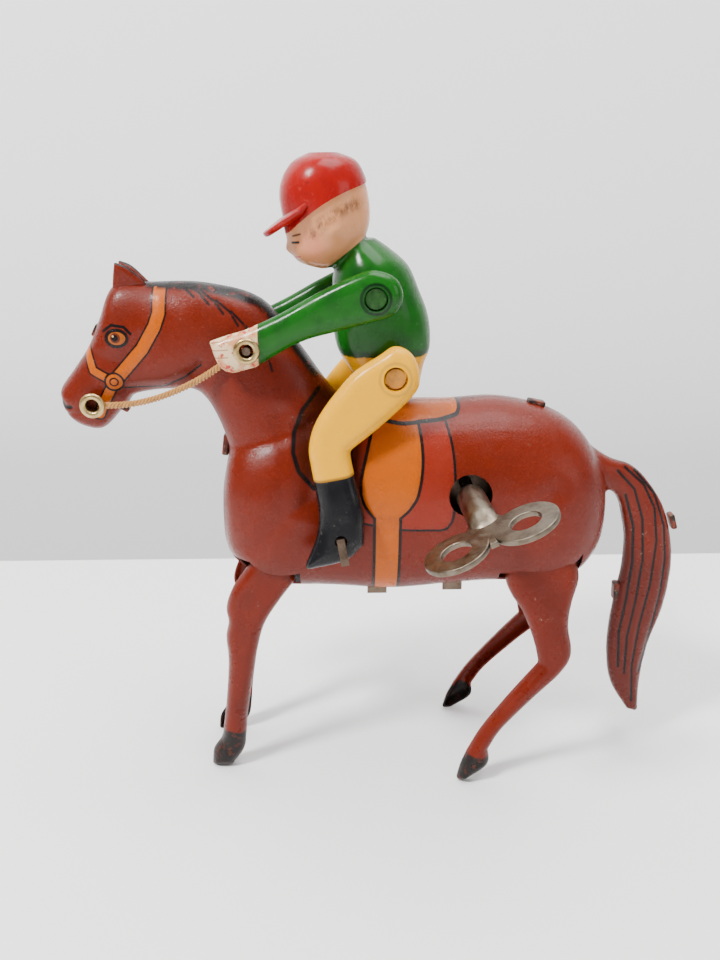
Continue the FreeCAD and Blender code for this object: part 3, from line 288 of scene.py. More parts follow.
def ring_loft(name, rings):
    """A closed skin through rings of points that all have the same count."""
    count = len(rings[0])
    vertices = [at(p[0], p[2], p[1]) for ring in rings for p in ring]
    faces = []
    for r in range(len(rings) - 1):
        a, b = r * count, (r + 1) * count
        faces += [[a + k, a + (k + 1) % count, b + (k + 1) % count, b + k] for k in range(count)]
    faces += [list(range(count))[::-1], list(range(len(vertices) - count, len(vertices)))]
    return outward(mesh_from(name, vertices, faces))


# ---------------------------------------------------------------- materials
class Paint:
    """Builds one Principled material from number fields and colour layers in the toy's millimetres."""

    def __init__(self, name, color, roughness=0.4, metallic=0.0):
        self.material = bpy.data.materials.new(name)
        self.material.use_nodes = True
        self.tree = self.material.node_tree
        self.shader = self.tree.nodes["Principled BSDF"]
        self.shader.inputs["Metallic"].default_value = metallic
        self.shader.inputs["Roughness"].default_value = roughness
        where = self.node("ShaderNodeTexCoord").outputs["Object"]
        scaled = self.vector("SCALE", where, scale=1000)
        self.place = self.vector("ADD", scaled, (0, -SEAM, 0))
        split = self.node("ShaderNodeSeparateXYZ")
        self.tree.links.new(self.place, split.inputs[0])
        self.x, self.y, self.z = split.outputs
        self.flat = self.vector("MULTIPLY", self.place, (1, 0, 1))
        self.color = self.rgb(color)

    def node(self, kind):
        return self.tree.nodes.new(kind)

    def plug(self, socket, value):
        if isinstance(value, bpy.types.NodeSocket):
            self.tree.links.new(value, socket)
        else:
            socket.default_value = value

    def vector(self, operation, *values, scale=None):
        node = self.node("ShaderNodeVectorMath")
        node.operation = operation
        for socket, value in zip(node.inputs, values):
            self.plug(socket, value)
        if scale is not None:
            self.plug(node.inputs["Scale"], scale)
        numbers = ("DOT_PRODUCT", "DISTANCE", "LENGTH")
        return node.outputs["Value"] if operation in numbers else node.outputs["Vector"]

    def math(self, operation, *values):
        """One Math node. It doesn't clamp, because many clamps fill the renderer's stack."""
        node = self.node("ShaderNodeMath")
        node.operation = operation
        for socket, value in zip(node.inputs, values):
            self.plug(socket, value)
        return node.outputs[0]

    def rgb(self, color):
        node = self.node("ShaderNodeRGB")
        node.outputs[0].default_value = (*color, 1)
        return node.outputs[0]

    def span(self, field, low, high, to_low=0.0, to_high=1.0):
        node = self.node("ShaderNodeMapRange")
        node.interpolation_type = "SMOOTHSTEP"
        for index, value in enumerate((field, low, high, to_low, to_high)):
            self.plug(node.inputs[index], value)
        return node.outputs[0]

    def noise(self, size, detail=3.0, rough=0.55, stretch=(1, 1, 1), shift=0.0):
        """Noise whose features are about size millimetres across."""
        node = self.node("ShaderNodeTexNoise")
        moved = self.vector("MULTIPLY", self.place, stretch)
        self.plug(node.inputs["Vector"], self.vector("ADD", moved, (shift, shift, shift)))
        node.inputs["Scale"].default_value = 1 / size
        node.inputs["Detail"].default_value = detail
        node.inputs["Roughness"].default_value = rough
        return node.outputs["Fac"]

    # fields: distances in millimetres, negative inside
    def disc(self, x, z, radius, squeeze=1.0):
        centre = (x, 0, z * squeeze)
        flat = self.flat if squeeze == 1.0 else self.vector("MULTIPLY", self.flat, (1, 1, squeeze))
        return self.math("SUBTRACT", self.vector("DISTANCE", flat, centre), radius)

    def side_of(self, start, end):
        """Distance to the line from start to end, negative on its right."""
        dx, dz = end[0] - start[0], end[1] - start[1]
        length = math.hypot(dx, dz)
        normal = (-dz / length, 0, dx / length)
        offset = normal[0] * start[0] + normal[2] * start[1]
        return self.math("SUBTRACT", self.vector("DOT_PRODUCT", self.flat, normal), offset)

    def convex(self, corners, soft=0.8):
        """A convex outline given clockwise, with softened corners."""
        field = None
        for start, end in zip(corners, corners[1:] + corners[:1]):
            edge = self.side_of(start, end)
            field = edge if field is None else self.math("SMOOTH_MAX", field, edge, soft)
        return field

    def either(self, a, b):
        return self.math("MINIMUM", a, b)

    def both(self, a, b):
        return self.math("MAXIMUM", a, b)

    def stroke(self, points, half_width):
        """A line of even width along points."""
        field = None
        for a, b in zip(points, points[1:]):
            dx, dz = b[0] - a[0], b[1] - a[1]
            square = dx * dx + dz * dz
            from_a = self.vector("SUBTRACT", self.flat, (a[0], 0, a[1]))
            share = self.vector("DOT_PRODUCT", from_a, (dx / square, 0, dz / square))
            share = self.math("MAXIMUM", self.math("MINIMUM", share, 1.0), 0.0)
            foot = self.vector("SCALE", (dx, 0, dz), scale=share)
            part = self.vector("DISTANCE", from_a, foot)
            field = part if field is None else self.either(field, part)
        return self.math("SUBTRACT", field, half_width)

    def rim(self, field, half_width):
        """The line that follows a field's edge."""
        return self.math("SUBTRACT", self.math("ABSOLUTE", field), half_width)

    def mask(self, field, soft=0.08):
        return self.span(field, -soft, soft, 1.0, 0.0)

    def times(self, a, b):
        return self.math("MULTIPLY", a, b)

    def layer(self, color, factor):
        node = self.node("ShaderNodeMix")
        node.data_type = "RGBA"
        self.plug(node.inputs["Factor"], factor)
        self.plug(node.inputs[6], self.color)
        self.plug(node.inputs[7], color if isinstance(color, bpy.types.NodeSocket) else (*color, 1))
        self.color = node.outputs[2]

    def draw(self, color, field, soft=0.08):
        self.layer(color, self.mask(field, soft))

    def finish(self, height=None, strength=0.2, distance=0.2, roughness=None, coat=0.0, metallic=None):
        self.plug(self.shader.inputs["Base Color"], self.color)
        if roughness is not None:
            self.plug(self.shader.inputs["Roughness"], roughness)
        if metallic is not None:
            self.plug(self.shader.inputs["Metallic"], metallic)
        self.shader.inputs["Specular IOR Level"].default_value = 0.17
        self.shader.inputs["Coat Weight"].default_value = coat
        self.shader.inputs["Coat Roughness"].default_value = 0.12
        if height is not None:
            bump = self.node("ShaderNodeBump")
            bump.inputs["Strength"].default_value = strength
            bump.inputs["Distance"].default_value = distance / 1000
            self.plug(bump.inputs["Height"], height)
            self.plug(self.shader.inputs["Normal"], bump.outputs[0])
        return self.material


RED_BROWN = (0.125, 0.0105, 0.003)
RED_BROWN_DARK = (0.075, 0.008, 0.004)
ORANGE = (0.40, 0.075, 0.0)
LITHO_BLACK = (0.006, 0.004, 0.004)
BARE_TIN = (0.16, 0.11, 0.075)

# Printed art, in the toy's millimetres.
EYE = (-59.6, 112.4)
ROSETTE = (-61.0, 102.4)
CHEEK_STRAP = [(-49.7, 124.5), (-49.8, 118.0), (-50.9, 115.0), (-54.0, 110.0), (-58.6, 105.0), ROSETTE]
NOSE_STRAP = [(-67.4, 110.2), (-65.6, 105.0), ROSETTE]
CHIN_STRAP = [ROSETTE, (-64.2, 96.8), (-65.2, 94.6)]
JAW_LINE = [(-59.0, 100.7), (-50.0, 101.0), (-45.0, 103.4), (-41.0, 106.4)]
FLAP = [(8.1, 94.5), (9.0, 90.3), (9.3, 85.6), (8.9, 80.9), (8.0, 77.0), (6.2, 74.1), (3.9, 72.0),
        (-1.8, 72.0), (-3.9, 74.7), (-5.0, 77.6), (-5.0, 81.9), (-3.9, 86.2), (-2.6, 91.8), (-1.8, 94.5)]
GIRTH = [(4.2, 75.0), (4.1, 48.0), (-1.8, 48.0), (-1.8, 75.0)]
CLOTH = [(13.2, 99.0), (14.8, 94.0), (16.1, 90.3), (16.6, 86.0), (16.8, 75.4), (16.3, 71.2), (14.6, 69.2),
         (3.0, 69.1), (-6.0, 71.0), (-8.0, 99.0)]
SHADED_RECESS = [(-14.0, 101.0), (-5.0, 98.0), (-5.0, 78.0), (-15.8, 78.5), (-19.2, 83.0),
    (-20.4, 88.0), (-19.4, 94.5)]
RECESS_EDGE = [(-14.5, 100.5), (-18.2, 96.2), (-20.2, 91.0), (-20.4, 87.0), (-19.2, 82.8), (-15.8, 78.5)]
SEAT = [(17.6, 102.0), (18.4, 96.0), (17.6, 94.6), (14.1, 93.7), (4.6, 93.0), (-9.0, 95.5), (-9.0, 104.0)]
MANE = [[(-47.5, 124.4), (-44.5, 123.4), (-42.0, 121.4)], [(-44.0, 124.0), (-40.8, 122.2), (-38.6, 119.8)],
        [(-40.5, 122.6), (-37.4, 120.4), (-35.4, 117.8)], [(-37.0, 120.6), (-34.0, 118.2), (-32.2, 115.2)],
        [(-33.6, 118.2), (-30.9, 115.4), (-29.4, 112.2)], [(-30.4, 115.0), (-28.0, 112.0), (-26.8, 108.8)],
        [(-27.6, 111.2), (-25.6, 108.2), (-24.8, 105.2)]]
MANE_CREST = [(-52.0, 124.6), (-40.0, 124.0), (-33.0, 122.4), (-27.2, 120.3), (-22.8, 115.8),
    (-18.8, 109.8), (-15.0, 104.5)]
TAIL_LINES = [[(60.0, 79.4), (65.0, 75.0), (68.2, 69.0), (69.6, 60.0), (69.2, 48.0), (67.6, 36.0),
    (67.0, 24.0), (68.2, 13.0)],
              [(62.5, 78.6), (68.0, 72.5), (71.2, 64.0), (72.4, 55.0), (72.2, 45.0), (70.8, 34.0),
              (69.2, 22.0)],
              [(58.0, 78.8), (62.6, 74.0), (65.4, 66.0), (66.6, 55.0), (66.0, 44.0), (64.8, 33.0),
              (65.2, 22.0)],
              [(60.6, 72.5), (63.4, 64.0), (64.2, 54.0), (63.6, 44.0), (62.6, 34.0), (63.4, 24.0)]]


def horse_paint():
    """Lithographed tin: red-brown lacquer, orange tack with black outlines, eye, mane and tail strokes."""
    p = Paint("lithographed_tin", RED_BROWN)
    p.layer(RED_BROWN_DARK, p.span(p.noise(14, 3), 0.45, 0.75, 0.0, 0.35))
    p.layer((0.20, 0.022, 0.007), p.span(p.noise(0.55, 2, 0.7), 0.5, 0.72, 0.0, 0.40))
    # painted shade: the lacquer is darkened towards the belly, where shade falls
    shade = p.span(p.z, 49, 62, 0.6, 0.0)
    p.layer(RED_BROWN_DARK, shade)
    # saddle cloth edge, flap, girth and seat
    cloth = p.convex(CLOTH, 1.5)
    p.draw((0.20, 0.016, 0.006), cloth)
    p.draw(LITHO_BLACK, p.rim(cloth, 0.30))
    flap = p.either(p.convex(FLAP, 0.6), p.convex(GIRTH, 0.1))
    p.draw(ORANGE, flap)
    p.layer((0.33, 0.065, 0.004), p.times(p.mask(flap), p.span(p.noise(5, 2, shift=7), 0.5, 0.8, 0.0, 0.6)))
    p.draw(LITHO_BLACK, p.rim(flap, 0.36))
    seat = p.convex(SEAT, 0.6)
    p.draw(ORANGE, seat)
    p.draw(LITHO_BLACK, p.rim(seat, 0.38))
    # painted shade: a dark brown wash in the hollow behind the rider's leg; the black stroke along its edge
    # is an outline
    recess = p.convex(SHADED_RECESS, 2.5)
    p.layer((0.035, 0.006, 0.003), p.times(p.mask(recess, 1.2), 0.8))
    p.draw(LITHO_BLACK, p.stroke(RECESS_EDGE, 0.5), 0.2)
    # bridle
    straps = p.either(p.stroke(CHEEK_STRAP, 1.35), p.stroke(NOSE_STRAP, 0.85))
    straps = p.either(straps, p.stroke(CHIN_STRAP, 1.05))
    p.draw(LITHO_BLACK, p.math("SUBTRACT", straps, 0.42))
    p.draw(ORANGE, straps)
    p.draw(LITHO_BLACK, p.disc(*ROSETTE, 2.3))
    p.draw(ORANGE, p.disc(*ROSETTE, 1.8))
    p.draw(LITHO_BLACK, p.rim(p.disc(*ROSETTE, 0.9), 0.18))
    p.draw(LITHO_BLACK, p.stroke(JAW_LINE, 0.22))
    # eye and nostril
    p.draw(LITHO_BLACK, p.disc(EYE[0], EYE[1], 2.75, 1.25))
    p.draw((0.30, 0.07, 0.006), p.disc(EYE[0] + 0.1, EYE[1], 1.95, 1.35))
    p.draw((0.09, 0.018, 0.008), p.disc(EYE[0] - 0.2, EYE[1] + 0.1, 1.15))
    p.draw(LITHO_BLACK, p.disc(EYE[0] - 0.3, EYE[1] + 0.1, 0.75))
    # painted highlight: a small pale glint in the eye
    p.draw((0.60, 0.42, 0.25), p.disc(EYE[0] - 0.7, EYE[1] + 0.5, 0.2))
    p.draw(LITHO_BLACK, p.stroke([(-62.6, 113.9), (-60.6, 115.3), (-57.8, 114.9), (-56.4, 113.4)], 0.32))
    p.draw(LITHO_BLACK, p.stroke([(-74.2, 97.4), (-73.4, 96.0), (-71.9, 96.1)], 0.42))
    # mane strokes fade in and out along their length; tail strokes are drawn whole
    broken = p.span(p.noise(3.5, 2, shift=3), 0.30, 0.42)
    for stroke in MANE:
        p.layer(LITHO_BLACK, p.times(p.mask(p.stroke(stroke, 0.26), 0.2), broken))
    for stroke in TAIL_LINES:
        p.draw(LITHO_BLACK, p.stroke(stroke, 0.32), 0.15)
    crest = p.both(p.stroke(MANE_CREST, 1.5), p.math("SUBTRACT", p.math("ABSOLUTE", p.y), 5.5))
    p.layer(LITHO_BLACK, p.times(p.mask(crest, 0.5), p.span(p.noise(2.4, 3, shift=33), 0.30, 0.44)))
    p.draw(LITHO_BLACK, p.stroke([(-59.5, 128.9), (-56.6, 127.7), (-52.4, 124.2)], 0.5), 0.15)
    # black along the seam, where the halves were edged, worn through here and there
    seam = p.span(p.math("ABSOLUTE", p.y), 0.8, 1.5, 1.0, 0.0)
    head_side = p.span(p.x, -30, -20, 1.0, 0.25)
    p.layer(LITHO_BLACK, p.times(p.times(seam, head_side), p.span(p.noise(3, 3, shift=11), 0.28, 0.40)))
    chips = p.times(p.span(p.noise(1.1, 4, 0.7, shift=21), 0.66, 0.69),
        p.span(p.noise(16, 1, shift=31), 0.5, 0.6))
    p.layer(BARE_TIN, chips)
    fine = p.noise(0.45, 2, 0.8)
    dents = p.noise(9, 2, shift=5)
    height = p.math("ADD", p.math("MULTIPLY", fine, 0.42), dents)
    rough = p.span(p.noise(6, 4, shift=2), 0.3, 0.75, 0.22, 0.38)
    return p.finish(height, 0.6, 0.35, rough, coat=0.04, metallic=p.times(chips, 0.8))


def leg_paint(name, hoof_line):
    """Painted leg: red-brown tin with a black hoof and a few chips."""
    p = Paint(name, RED_BROWN)
    p.layer(RED_BROWN_DARK, p.span(p.noise(7, 3, shift=4), 0.45, 0.75, 0.0, 0.5))
    p.layer((0.20, 0.022, 0.007), p.span(p.noise(0.55, 2, 0.7), 0.5, 0.72, 0.0, 0.35))
    hoof = p.math("ADD", p.side_of(*hoof_line), p.math("MULTIPLY", p.noise(1.6, 3, shift=9), 1.6))
    p.draw((0.012, 0.010, 0.009), hoof, 0.25)
    worn = p.times(p.mask(hoof), p.span(p.noise(1.3, 3, shift=14), 0.56, 0.62))
    p.layer((0.10, 0.02, 0.01), p.times(worn, 0.5))
    chips = p.span(p.noise(1.4, 4, 0.7, shift=25), 0.68, 0.71)
    p.layer(BARE_TIN, chips)
    height = p.math("ADD", p.math("MULTIPLY", p.noise(0.5, 2, 0.8), 0.3), p.noise(5, 2, shift=6))
    rough = p.span(p.noise(5, 3, shift=1), 0.3, 0.75, 0.24, 0.42)
    return p.finish(height, 0.5, 0.3, rough, coat=0.0, metallic=p.times(chips, 0.8))


def metal(name, color, dark, roughness, spots=0.4, brushed=(1, 1, 1)):
    p = Paint(name, color, roughness, 1.0)
    p.layer(dark, p.span(p.noise(3.5, 4, 0.65, shift=8), 0.42, 0.7, 0.0, 0.85))
    p.layer((0.035, 0.022, 0.014), p.times(p.span(p.noise(0.9, 4, 0.7, shift=17), 0.62, 0.72), spots))
    rough = p.span(p.noise(1.6, 4, shift=3), 0.3, 0.8, roughness - 0.1, roughness + 0.18)
    return p.finish(p.noise(0.5, 3, 0.7, brushed), 0.35, 0.12, rough)


def celluloid(p, wear=0.5):
    """Common finish of the rider's painted, blown celluloid."""
    soft = p.noise(7, 2, shift=12)
    fine = p.math("MULTIPLY", p.noise(0.7, 3, shift=13), 0.12)
    rough = p.span(p.noise(4, 3, shift=5), 0.3, 0.8, 0.16, 0.36)
    return p.finish(p.math("ADD", soft, fine), wear, 0.3, rough, coat=0.05)


GREEN = (0.007, 0.085, 0.006)
GREEN_DARK = (0.005, 0.040, 0.006)
YELLOW = (0.78, 0.36, 0.0)
SKIN = (0.58, 0.25, 0.11)
CAP_RED = (0.28, 0.004, 0.003)
HAIR = (0.06, 0.022, 0.012)


def rider_paint():
    """Green shirt, yellow seat, bare head; the cap is a piece of its own."""
    p = Paint("rider_celluloid", GREEN)
    p.layer(GREEN_DARK, p.span(p.noise(8, 3, shift=1), 0.45, 0.75, 0.0, 0.65))
    low = p.math("SUBTRACT", p.z, p.math("MULTIPLY", p.noise(3, 2, shift=2), 2.4))
    p.draw(GREEN_DARK, p.math("SUBTRACT", low, 108.2), 0.8)
    p.draw(YELLOW, p.math("SUBTRACT", low, 106.6), 0.25)
    p.layer((0.50, 0.24, 0.01), p.times(p.mask(p.math("SUBTRACT", low, 106.6)), p.span(p.noise(4, 3,
        shift=5), 0.5, 0.8, 0, 0.6)))
    # worn seam down the back
    back = p.times(p.span(p.math("ABSOLUTE", p.y), 0.3, 1.0, 1.0, 0.0), p.span(p.x, 5, 9))
    back = p.times(back, p.span(p.noise(2.5, 3, shift=15), 0.4, 0.55))
    p.layer((0.62, 0.50, 0.33), back)
    # skin above the collar line
    collar = p.side_of((-12.2, 127.4), (-2.4, 135.2))
    head = p.both(p.math("MULTIPLY", collar, -1.0), p.math("SUBTRACT", 126.8, p.z))
    p.draw(SKIN, head, 0.15)
    p.layer((0.50, 0.15, 0.07), p.times(p.mask(head), p.span(p.noise(5, 3, shift=19), 0.5, 0.8, 0, 0.45)))
    near_face = p.times(p.mask(head), p.mask(p.disc(-15.2, 132.6, 2.6), 2.0))
    p.layer((0.72, 0.20, 0.12), p.times(near_face, 0.5))
    # hair: brushed brown under the cap at the temple and nape
    hair = p.stroke([(-15.2, 135.0), (-13.0, 137.4), (-9.6, 139.6), (-6.0, 141.2)], 1.1)
    brushed = p.span(p.noise(1.6, 4, 0.7, (1, 1, 0.6), shift=23), 0.34, 0.62)
    p.layer((0.10, 0.035, 0.016), p.times(p.times(p.mask(hair, 1.3), brushed), p.times(p.mask(head), 0.85)))
    # eyebrow and closed-looking eye, as thin brown strokes
    p.layer(HAIR, p.times(p.mask(p.stroke([(-19.6, 134.4), (-18.0, 134.9)], 0.22), 0.15), p.mask(head)))
    p.layer(LITHO_BLACK, p.times(p.mask(p.stroke([(-19.8, 132.9), (-18.4, 133.1)], 0.26), 0.15),
        p.mask(head)))
    p.layer((0.50, 0.05, 0.03), p.times(p.mask(p.stroke([(-19.4, 129.6), (-18.2, 129.9)], 0.22), 0.15),
        p.mask(head)))
    return celluloid(p)


def cap_paint():
    p = Paint("cap_red", CAP_RED)
    p.layer((0.20, 0.004, 0.004), p.span(p.noise(6, 3, shift=3), 0.45, 0.75, 0.0, 0.6))
    p.layer((0.50, 0.05, 0.035), p.span(p.noise(1.8, 3, shift=4), 0.6, 0.75, 0.0, 0.5))
    seam = p.span(p.math("ABSOLUTE", p.y), 0.1, 0.35, 1.0, 0.0)
    p.layer((0.20, 0.008, 0.006), p.times(seam, 0.6))
    spots = p.span(p.noise(1.2, 3, 0.6, shift=37), 0.68, 0.71)
    p.layer((0.06, 0.02, 0.015), spots)
    return celluloid(p, 0.4)


def arm_paint():
    p = Paint("arm_celluloid", GREEN)
    p.layer(GREEN_DARK, p.span(p.noise(6, 3, shift=21), 0.42, 0.72, 0.0, 0.7))
    p.draw((0.008, 0.055, 0.008), p.disc(*SHOULDER, 3.0), 0.2)
    # painted shade: a near-black ring round the shoulder peg, where its recess lies in shade
    p.draw((0.003, 0.018, 0.004), p.rim(p.disc(*SHOULDER, 3.2), 0.3), 0.2)
    hand = p.math("SUBTRACT", p.x, -27.4)
    p.draw((0.02, 0.06, 0.015), p.math("SUBTRACT", p.x, -26.9), 0.2)
    p.draw(SKIN, hand, 0.15)
    p.layer((0.72, 0.55, 0.33), p.times(p.mask(hand), p.span(p.noise(3, 3, shift=2), 0.38, 0.58, 0, 0.9)))
    paint = p.times(p.mask(hand), p.span(p.noise(1.6, 3, 0.6, shift=44), 0.58, 0.63))
    p.layer((0.48, 0.05, 0.03), paint)
    for offset in (0.0, 1.7, 3.4):
        finger = p.stroke([(-37.6, 112.4 - offset), (-34.0, 112.8 - offset)], 0.12)
        p.layer((0.30, 0.10, 0.05), p.times(p.mask(finger, 0.15), 0.9))
    return celluloid(p, 0.5)


def rider_leg_paint():
    p = Paint("trouser_celluloid", YELLOW)
    p.layer((0.68, 0.33, 0.004), p.span(p.noise(6, 3, shift=21), 0.42, 0.72, 0.0, 0.6))
    # painted shade: a darker yellow ring round the hip peg, where its recess lies in shade
    p.layer((0.45, 0.22, 0.02), p.times(p.mask(p.rim(p.disc(*HIP, 3.5), 0.3), 0.3), 0.75))
    p.layer((0.55, 0.26, 0.02), p.span(p.noise(1.2, 4, 0.7, shift=52), 0.66, 0.70, 0.0, 0.6))
    boot = p.side_of((-16.6, 81.6), (-5.4, 83.6))
    p.draw((0.30, 0.13, 0.01), p.math("SUBTRACT", boot, 0.5), 0.3)
    p.draw((0.006, 0.006, 0.007), boot, 0.12)
    p.layer((0.10, 0.09, 0.08), p.times(p.mask(boot), p.span(p.noise(1.5, 4, 0.7, shift=6), 0.64, 0.7,
        0, 0.6)))
    return celluloid(p, 0.6)


def string_paint():
    p = Paint("twisted_string", (0.46, 0.22, 0.055), 0.85)
    p.layer((0.28, 0.12, 0.03), p.span(p.noise(1.2, 4, 0.7), 0.45, 0.75, 0.0, 0.7))
    p.shader.inputs["Sheen Weight"].default_value = 0.3
    return p.finish(p.noise(0.12, 3, 0.8, (0.4, 1, 1)), 0.8, 0.08)


def pin_paint(name, color, dark):
    p = Paint(name, color)
    p.layer(dark, p.span(p.noise(1.6, 3, shift=3), 0.4, 0.7, 0.0, 0.8))
    return celluloid(p, 0.5)


# ---------------------------------------------------------------- horse body
def superellipse_ring(top, bottom, half_width, count=44):
    """A section from its crest round to its crest, boxier below than above."""
    centre = (np.array(top) + np.array(bottom)) / 2
    rise = (np.array(top) - np.array(bottom)) / 2
    ring = []
    for step in range(count):
        angle = 2 * math.pi * step / count
        up, across = math.cos(angle), math.sin(angle)
        power = 2 / (2.2 if up >= 0 else 2.7)
        side = math.copysign(abs(across) ** power, across) * half_width
        along = math.copysign(abs(up) ** power, up)
        ring.append((centre[0] + rise[0] * along, side, centre[1] + rise[1] * along))
    return ring


# Each rib: crest x, crest z, underside x, underside z, half width.
NECK, HEAD, TAIL = 8.0, 6.5, 3.0
TRUNK_RIBS = [
    (-38.2, 74, -38.2, 65, 0.16 * SIDE), (-37.2, 80, -37.4, 60.4, 0.50 * SIDE), (-34.5, 88, -34.6, 56.5,
    0.78 * SIDE),
    (-26, 93, -27, 51.2, 0.95 * SIDE), (-12, 98, -12, 49.9, 0.90 * SIDE), (3, 96.5, 3, 49.2, 0.97 * SIDE),
    (16, 96.3, 16, 50.4, SIDE), (28, 96.9, 28, 51.2, SIDE), (40, 94.3, 40, 50.6, 0.97 * SIDE),
    (48, 89.2, 48, 52.6, 0.84 * SIDE), (53.4, 81, 53.4, 58.5, 0.55 * SIDE), (55.6, 74, 55.6, 66, 0.2 * SIDE),
]
NECK_RIBS = [
    (-2, 88, -33, 62, 0.72 * SIDE), (-11.5, 99.5, -35.4, 82, 0.62 * SIDE), (-18.8, 109.8, -38.4, 92.8,
    1.15 * NECK),
    (-27.2, 120.3, -42.8, 99.2, NECK), (-40, 124, -50, 99.6, NECK), (-52, 124.2, -57.5, 98.4, 1.04 * HEAD),
    (-60.5, 123.6, -59.4, 96.2, HEAD), (-64.4, 116, -62.2, 93.4, 0.98 * HEAD), (-67.4, 109.8, -63.4, 92,
    0.95 * HEAD),
    (-71.2, 104.6, -66.2, 90.0, 0.9 * HEAD), (-74.6, 100.2, -70.6, 91.1, 0.72 * HEAD), (-75.0, 98,
    -73.6, 93.4, 0.4 * HEAD),
]
TAIL_RIBS = [
    (47, 88, 48, 73, 1.6 * TAIL), (56, 81.7, 55.3, 73.6, 1.2 * TAIL), (62.4, 79.3, 59.2, 71.0, TAIL),
    (68, 73.6, 61.3, 64.3, TAIL), (72.3, 66, 62.2, 59.3, TAIL), (75, 54, 62.2, 51.6, TAIL),
    (74.2, 41, 60.8, 40, TAIL), (71.4, 30, 60.5, 29.2, 0.93 * TAIL), (70.3, 19, 62.3, 18.6, 0.8 * TAIL),
    (70.8, 9, 67.6, 9.7, 0.45 * TAIL),
]


def trunk_skin():
    """The whole outside of the horse in one skin."""
    parts = []
    for name, ribs in (("trunk", TRUNK_RIBS), ("neck", NECK_RIBS), ("brush", TAIL_RIBS)):
        rows = catmull(ribs, 5)
        rings = [superellipse_ring((r[0], r[1]), (r[2], r[3]), r[4]) for r in rows]
        parts.append(ring_loft(name, rings))
    return remesh(join("horse_skin", parts), 0.62, 8)


def polygon_depth(points, outline, soft):
    """1 well inside an outline, 0 outside, and a ramp of the given width just inside its edge."""
    flat = points[:, [0, 2]]
    outline = np.array(outline, float)
    return np.where(inside(flat, outline), smoothstep(edge_distance(flat, outline) / soft), 0)


def line_depth(points, line, width):
    """1 on an open line, falling to 0 at a width from it."""
    flat = points[:, [0, 2]]
    best = np.full(len(flat), 1e9)
    for a, b in zip(np.array(line[:-1], float), np.array(line[1:], float)):
        along = b - a
        share = np.clip(((flat - a) @ along) / (along @ along), 0, 1)
        best = np.minimum(best, np.linalg.norm(flat - (a + share[:, None] * along), axis=1))
    return smoothstep(1 - best / width)


RECESS = [(-22.5, 72), (-21.5, 95), (-3.5, 99), (-3.2, 88), (-6.0, 80), (-6.0, 73), (-14, 69)]


def emboss(skin):
    """Pressed relief: saddle flap, cloth, straps, muscles, eye and the hollow behind the rider's leg."""
    points = positions(skin)
    side = np.sign(points[:, 1]) * smoothstep(np.abs(points[:, 1]) / 2.5)
    relief = -1.9 * polygon_depth(points, RECESS, 6.0)
    relief += 0.45 * polygon_depth(points, FLAP, 0.9)
    relief += 0.35 * polygon_depth(points, CLOTH, 1.2)
    relief += 0.30 * line_depth(points, CHEEK_STRAP, 2.0) + 0.25 * line_depth(points, NOSE_STRAP, 1.6)
    relief += 0.55 * line_depth(points, [EYE, (EYE[0] + 0.1, EYE[1])], 3.6)
    relief -= 0.35 * line_depth(points, [(-64.5, 108.0), (-59.0, 106.8), (-54.0, 112.5)], 2.6)
    relief -= 0.55 * line_depth(points, [(-74.4, 97.6), (-73.2, 96.2), (-71.8, 96.2)], 1.1)
    relief -= 0.40 * line_depth(points, [(-74.2, 94.4), (-70.5, 94.6), (-67.5, 96.0)], 0.9)
    relief -= 0.5 * line_depth(points, JAW_LINE, 2.2)
    relief -= 0.45 * line_depth(points, [(-30, 64), (-23, 72), (-21, 84), (-23, 95)], 4.0)
    relief -= 0.5 * line_depth(points, [(30, 60), (33, 70), (40, 78)], 5.0)
    for line in TAIL_LINES:
        relief -= 0.28 * line_depth(points, line, 0.9)
    for line in MANE:
        relief -= 0.16 * line_depth(points, line, 0.9)
    points[:, 1] += side * relief
    set_positions(skin, points)
    return skin


def half_of(skin, side):
    """One half of the skin as an open shell of sheet tin, cut just short of the seam."""
    work = bmesh.new()
    work.from_mesh(skin.data)
    geometry = list(work.verts) + list(work.edges) + list(work.faces)
    bmesh.ops.bisect_plane(work, geom=geometry, plane_co=at(0, 0, side * 0.06), plane_no=(0, side, 0),
        clear_inner=True)
    mesh = bpy.data.meshes.new("half")
    work.to_mesh(mesh)
    work.free()
    half = new_object("horse_half", mesh)
    wall = half.modifiers.new("sheet", "SOLIDIFY")
    wall.thickness = TIN / 1000
    wall.offset = -1
    return applied(half)


def ear_piece(side):
    outline = closed_outline([[(-60.8, 121.8), (-60.3, 125.2), (-59.6, 128.7)],
        [(-59.6, 128.7), (-56.6, 127.4), (-52.4, 123.4)],
                              [(-52.4, 123.4), (-60.8, 121.8)]])
    ear = pillow("ear", outline, 0.9, 1.3, 0.28)
    points = positions(ear)
    points[:, 1] += side * (1.5 + 0.12 * (points[:, 2] - 122))
    set_positions(ear, points)
    return ear


def leg_slots(side):
    """Openings in the belly for the legs."""
    tools = []
    track = 12.6
    low, high = sorted((side * 7.6, side * track))
    spans = ((FRONT_AXLE[0] - 8.5, FRONT_AXLE[0] + 8.0, 60.0),
        (REAR_AXLE[0] - 10.5, REAR_AXLE[0] + 9.5, 61.0))
    for x_low, x_high, top in spans:
        tools.append(box_between("slot", (x_low, x_high), (low, high), (40, top)))
    return tools


def make_horse():
    skin = emboss(trunk_skin())
    paint = horse_paint()
    for side, hand in ((NEAR, "left"), (FAR, "right")):
        half = half_of(skin, side)
        for tool in leg_slots(side):
            cut(half, tool)
        if side == NEAR:
            cut(half, tube_between("key_hole", KEY_AXIS[0], KEY_AXIS[1], 5.0, -30, -4))
        half = join("horse_body_" + hand, [half, ear_piece(side)])
        shade_smooth(half, 50)
        half.data.materials.append(paint)
        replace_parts(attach(half, "horse"), "body_shell_" + hand)
    bpy.data.objects.remove(skin)


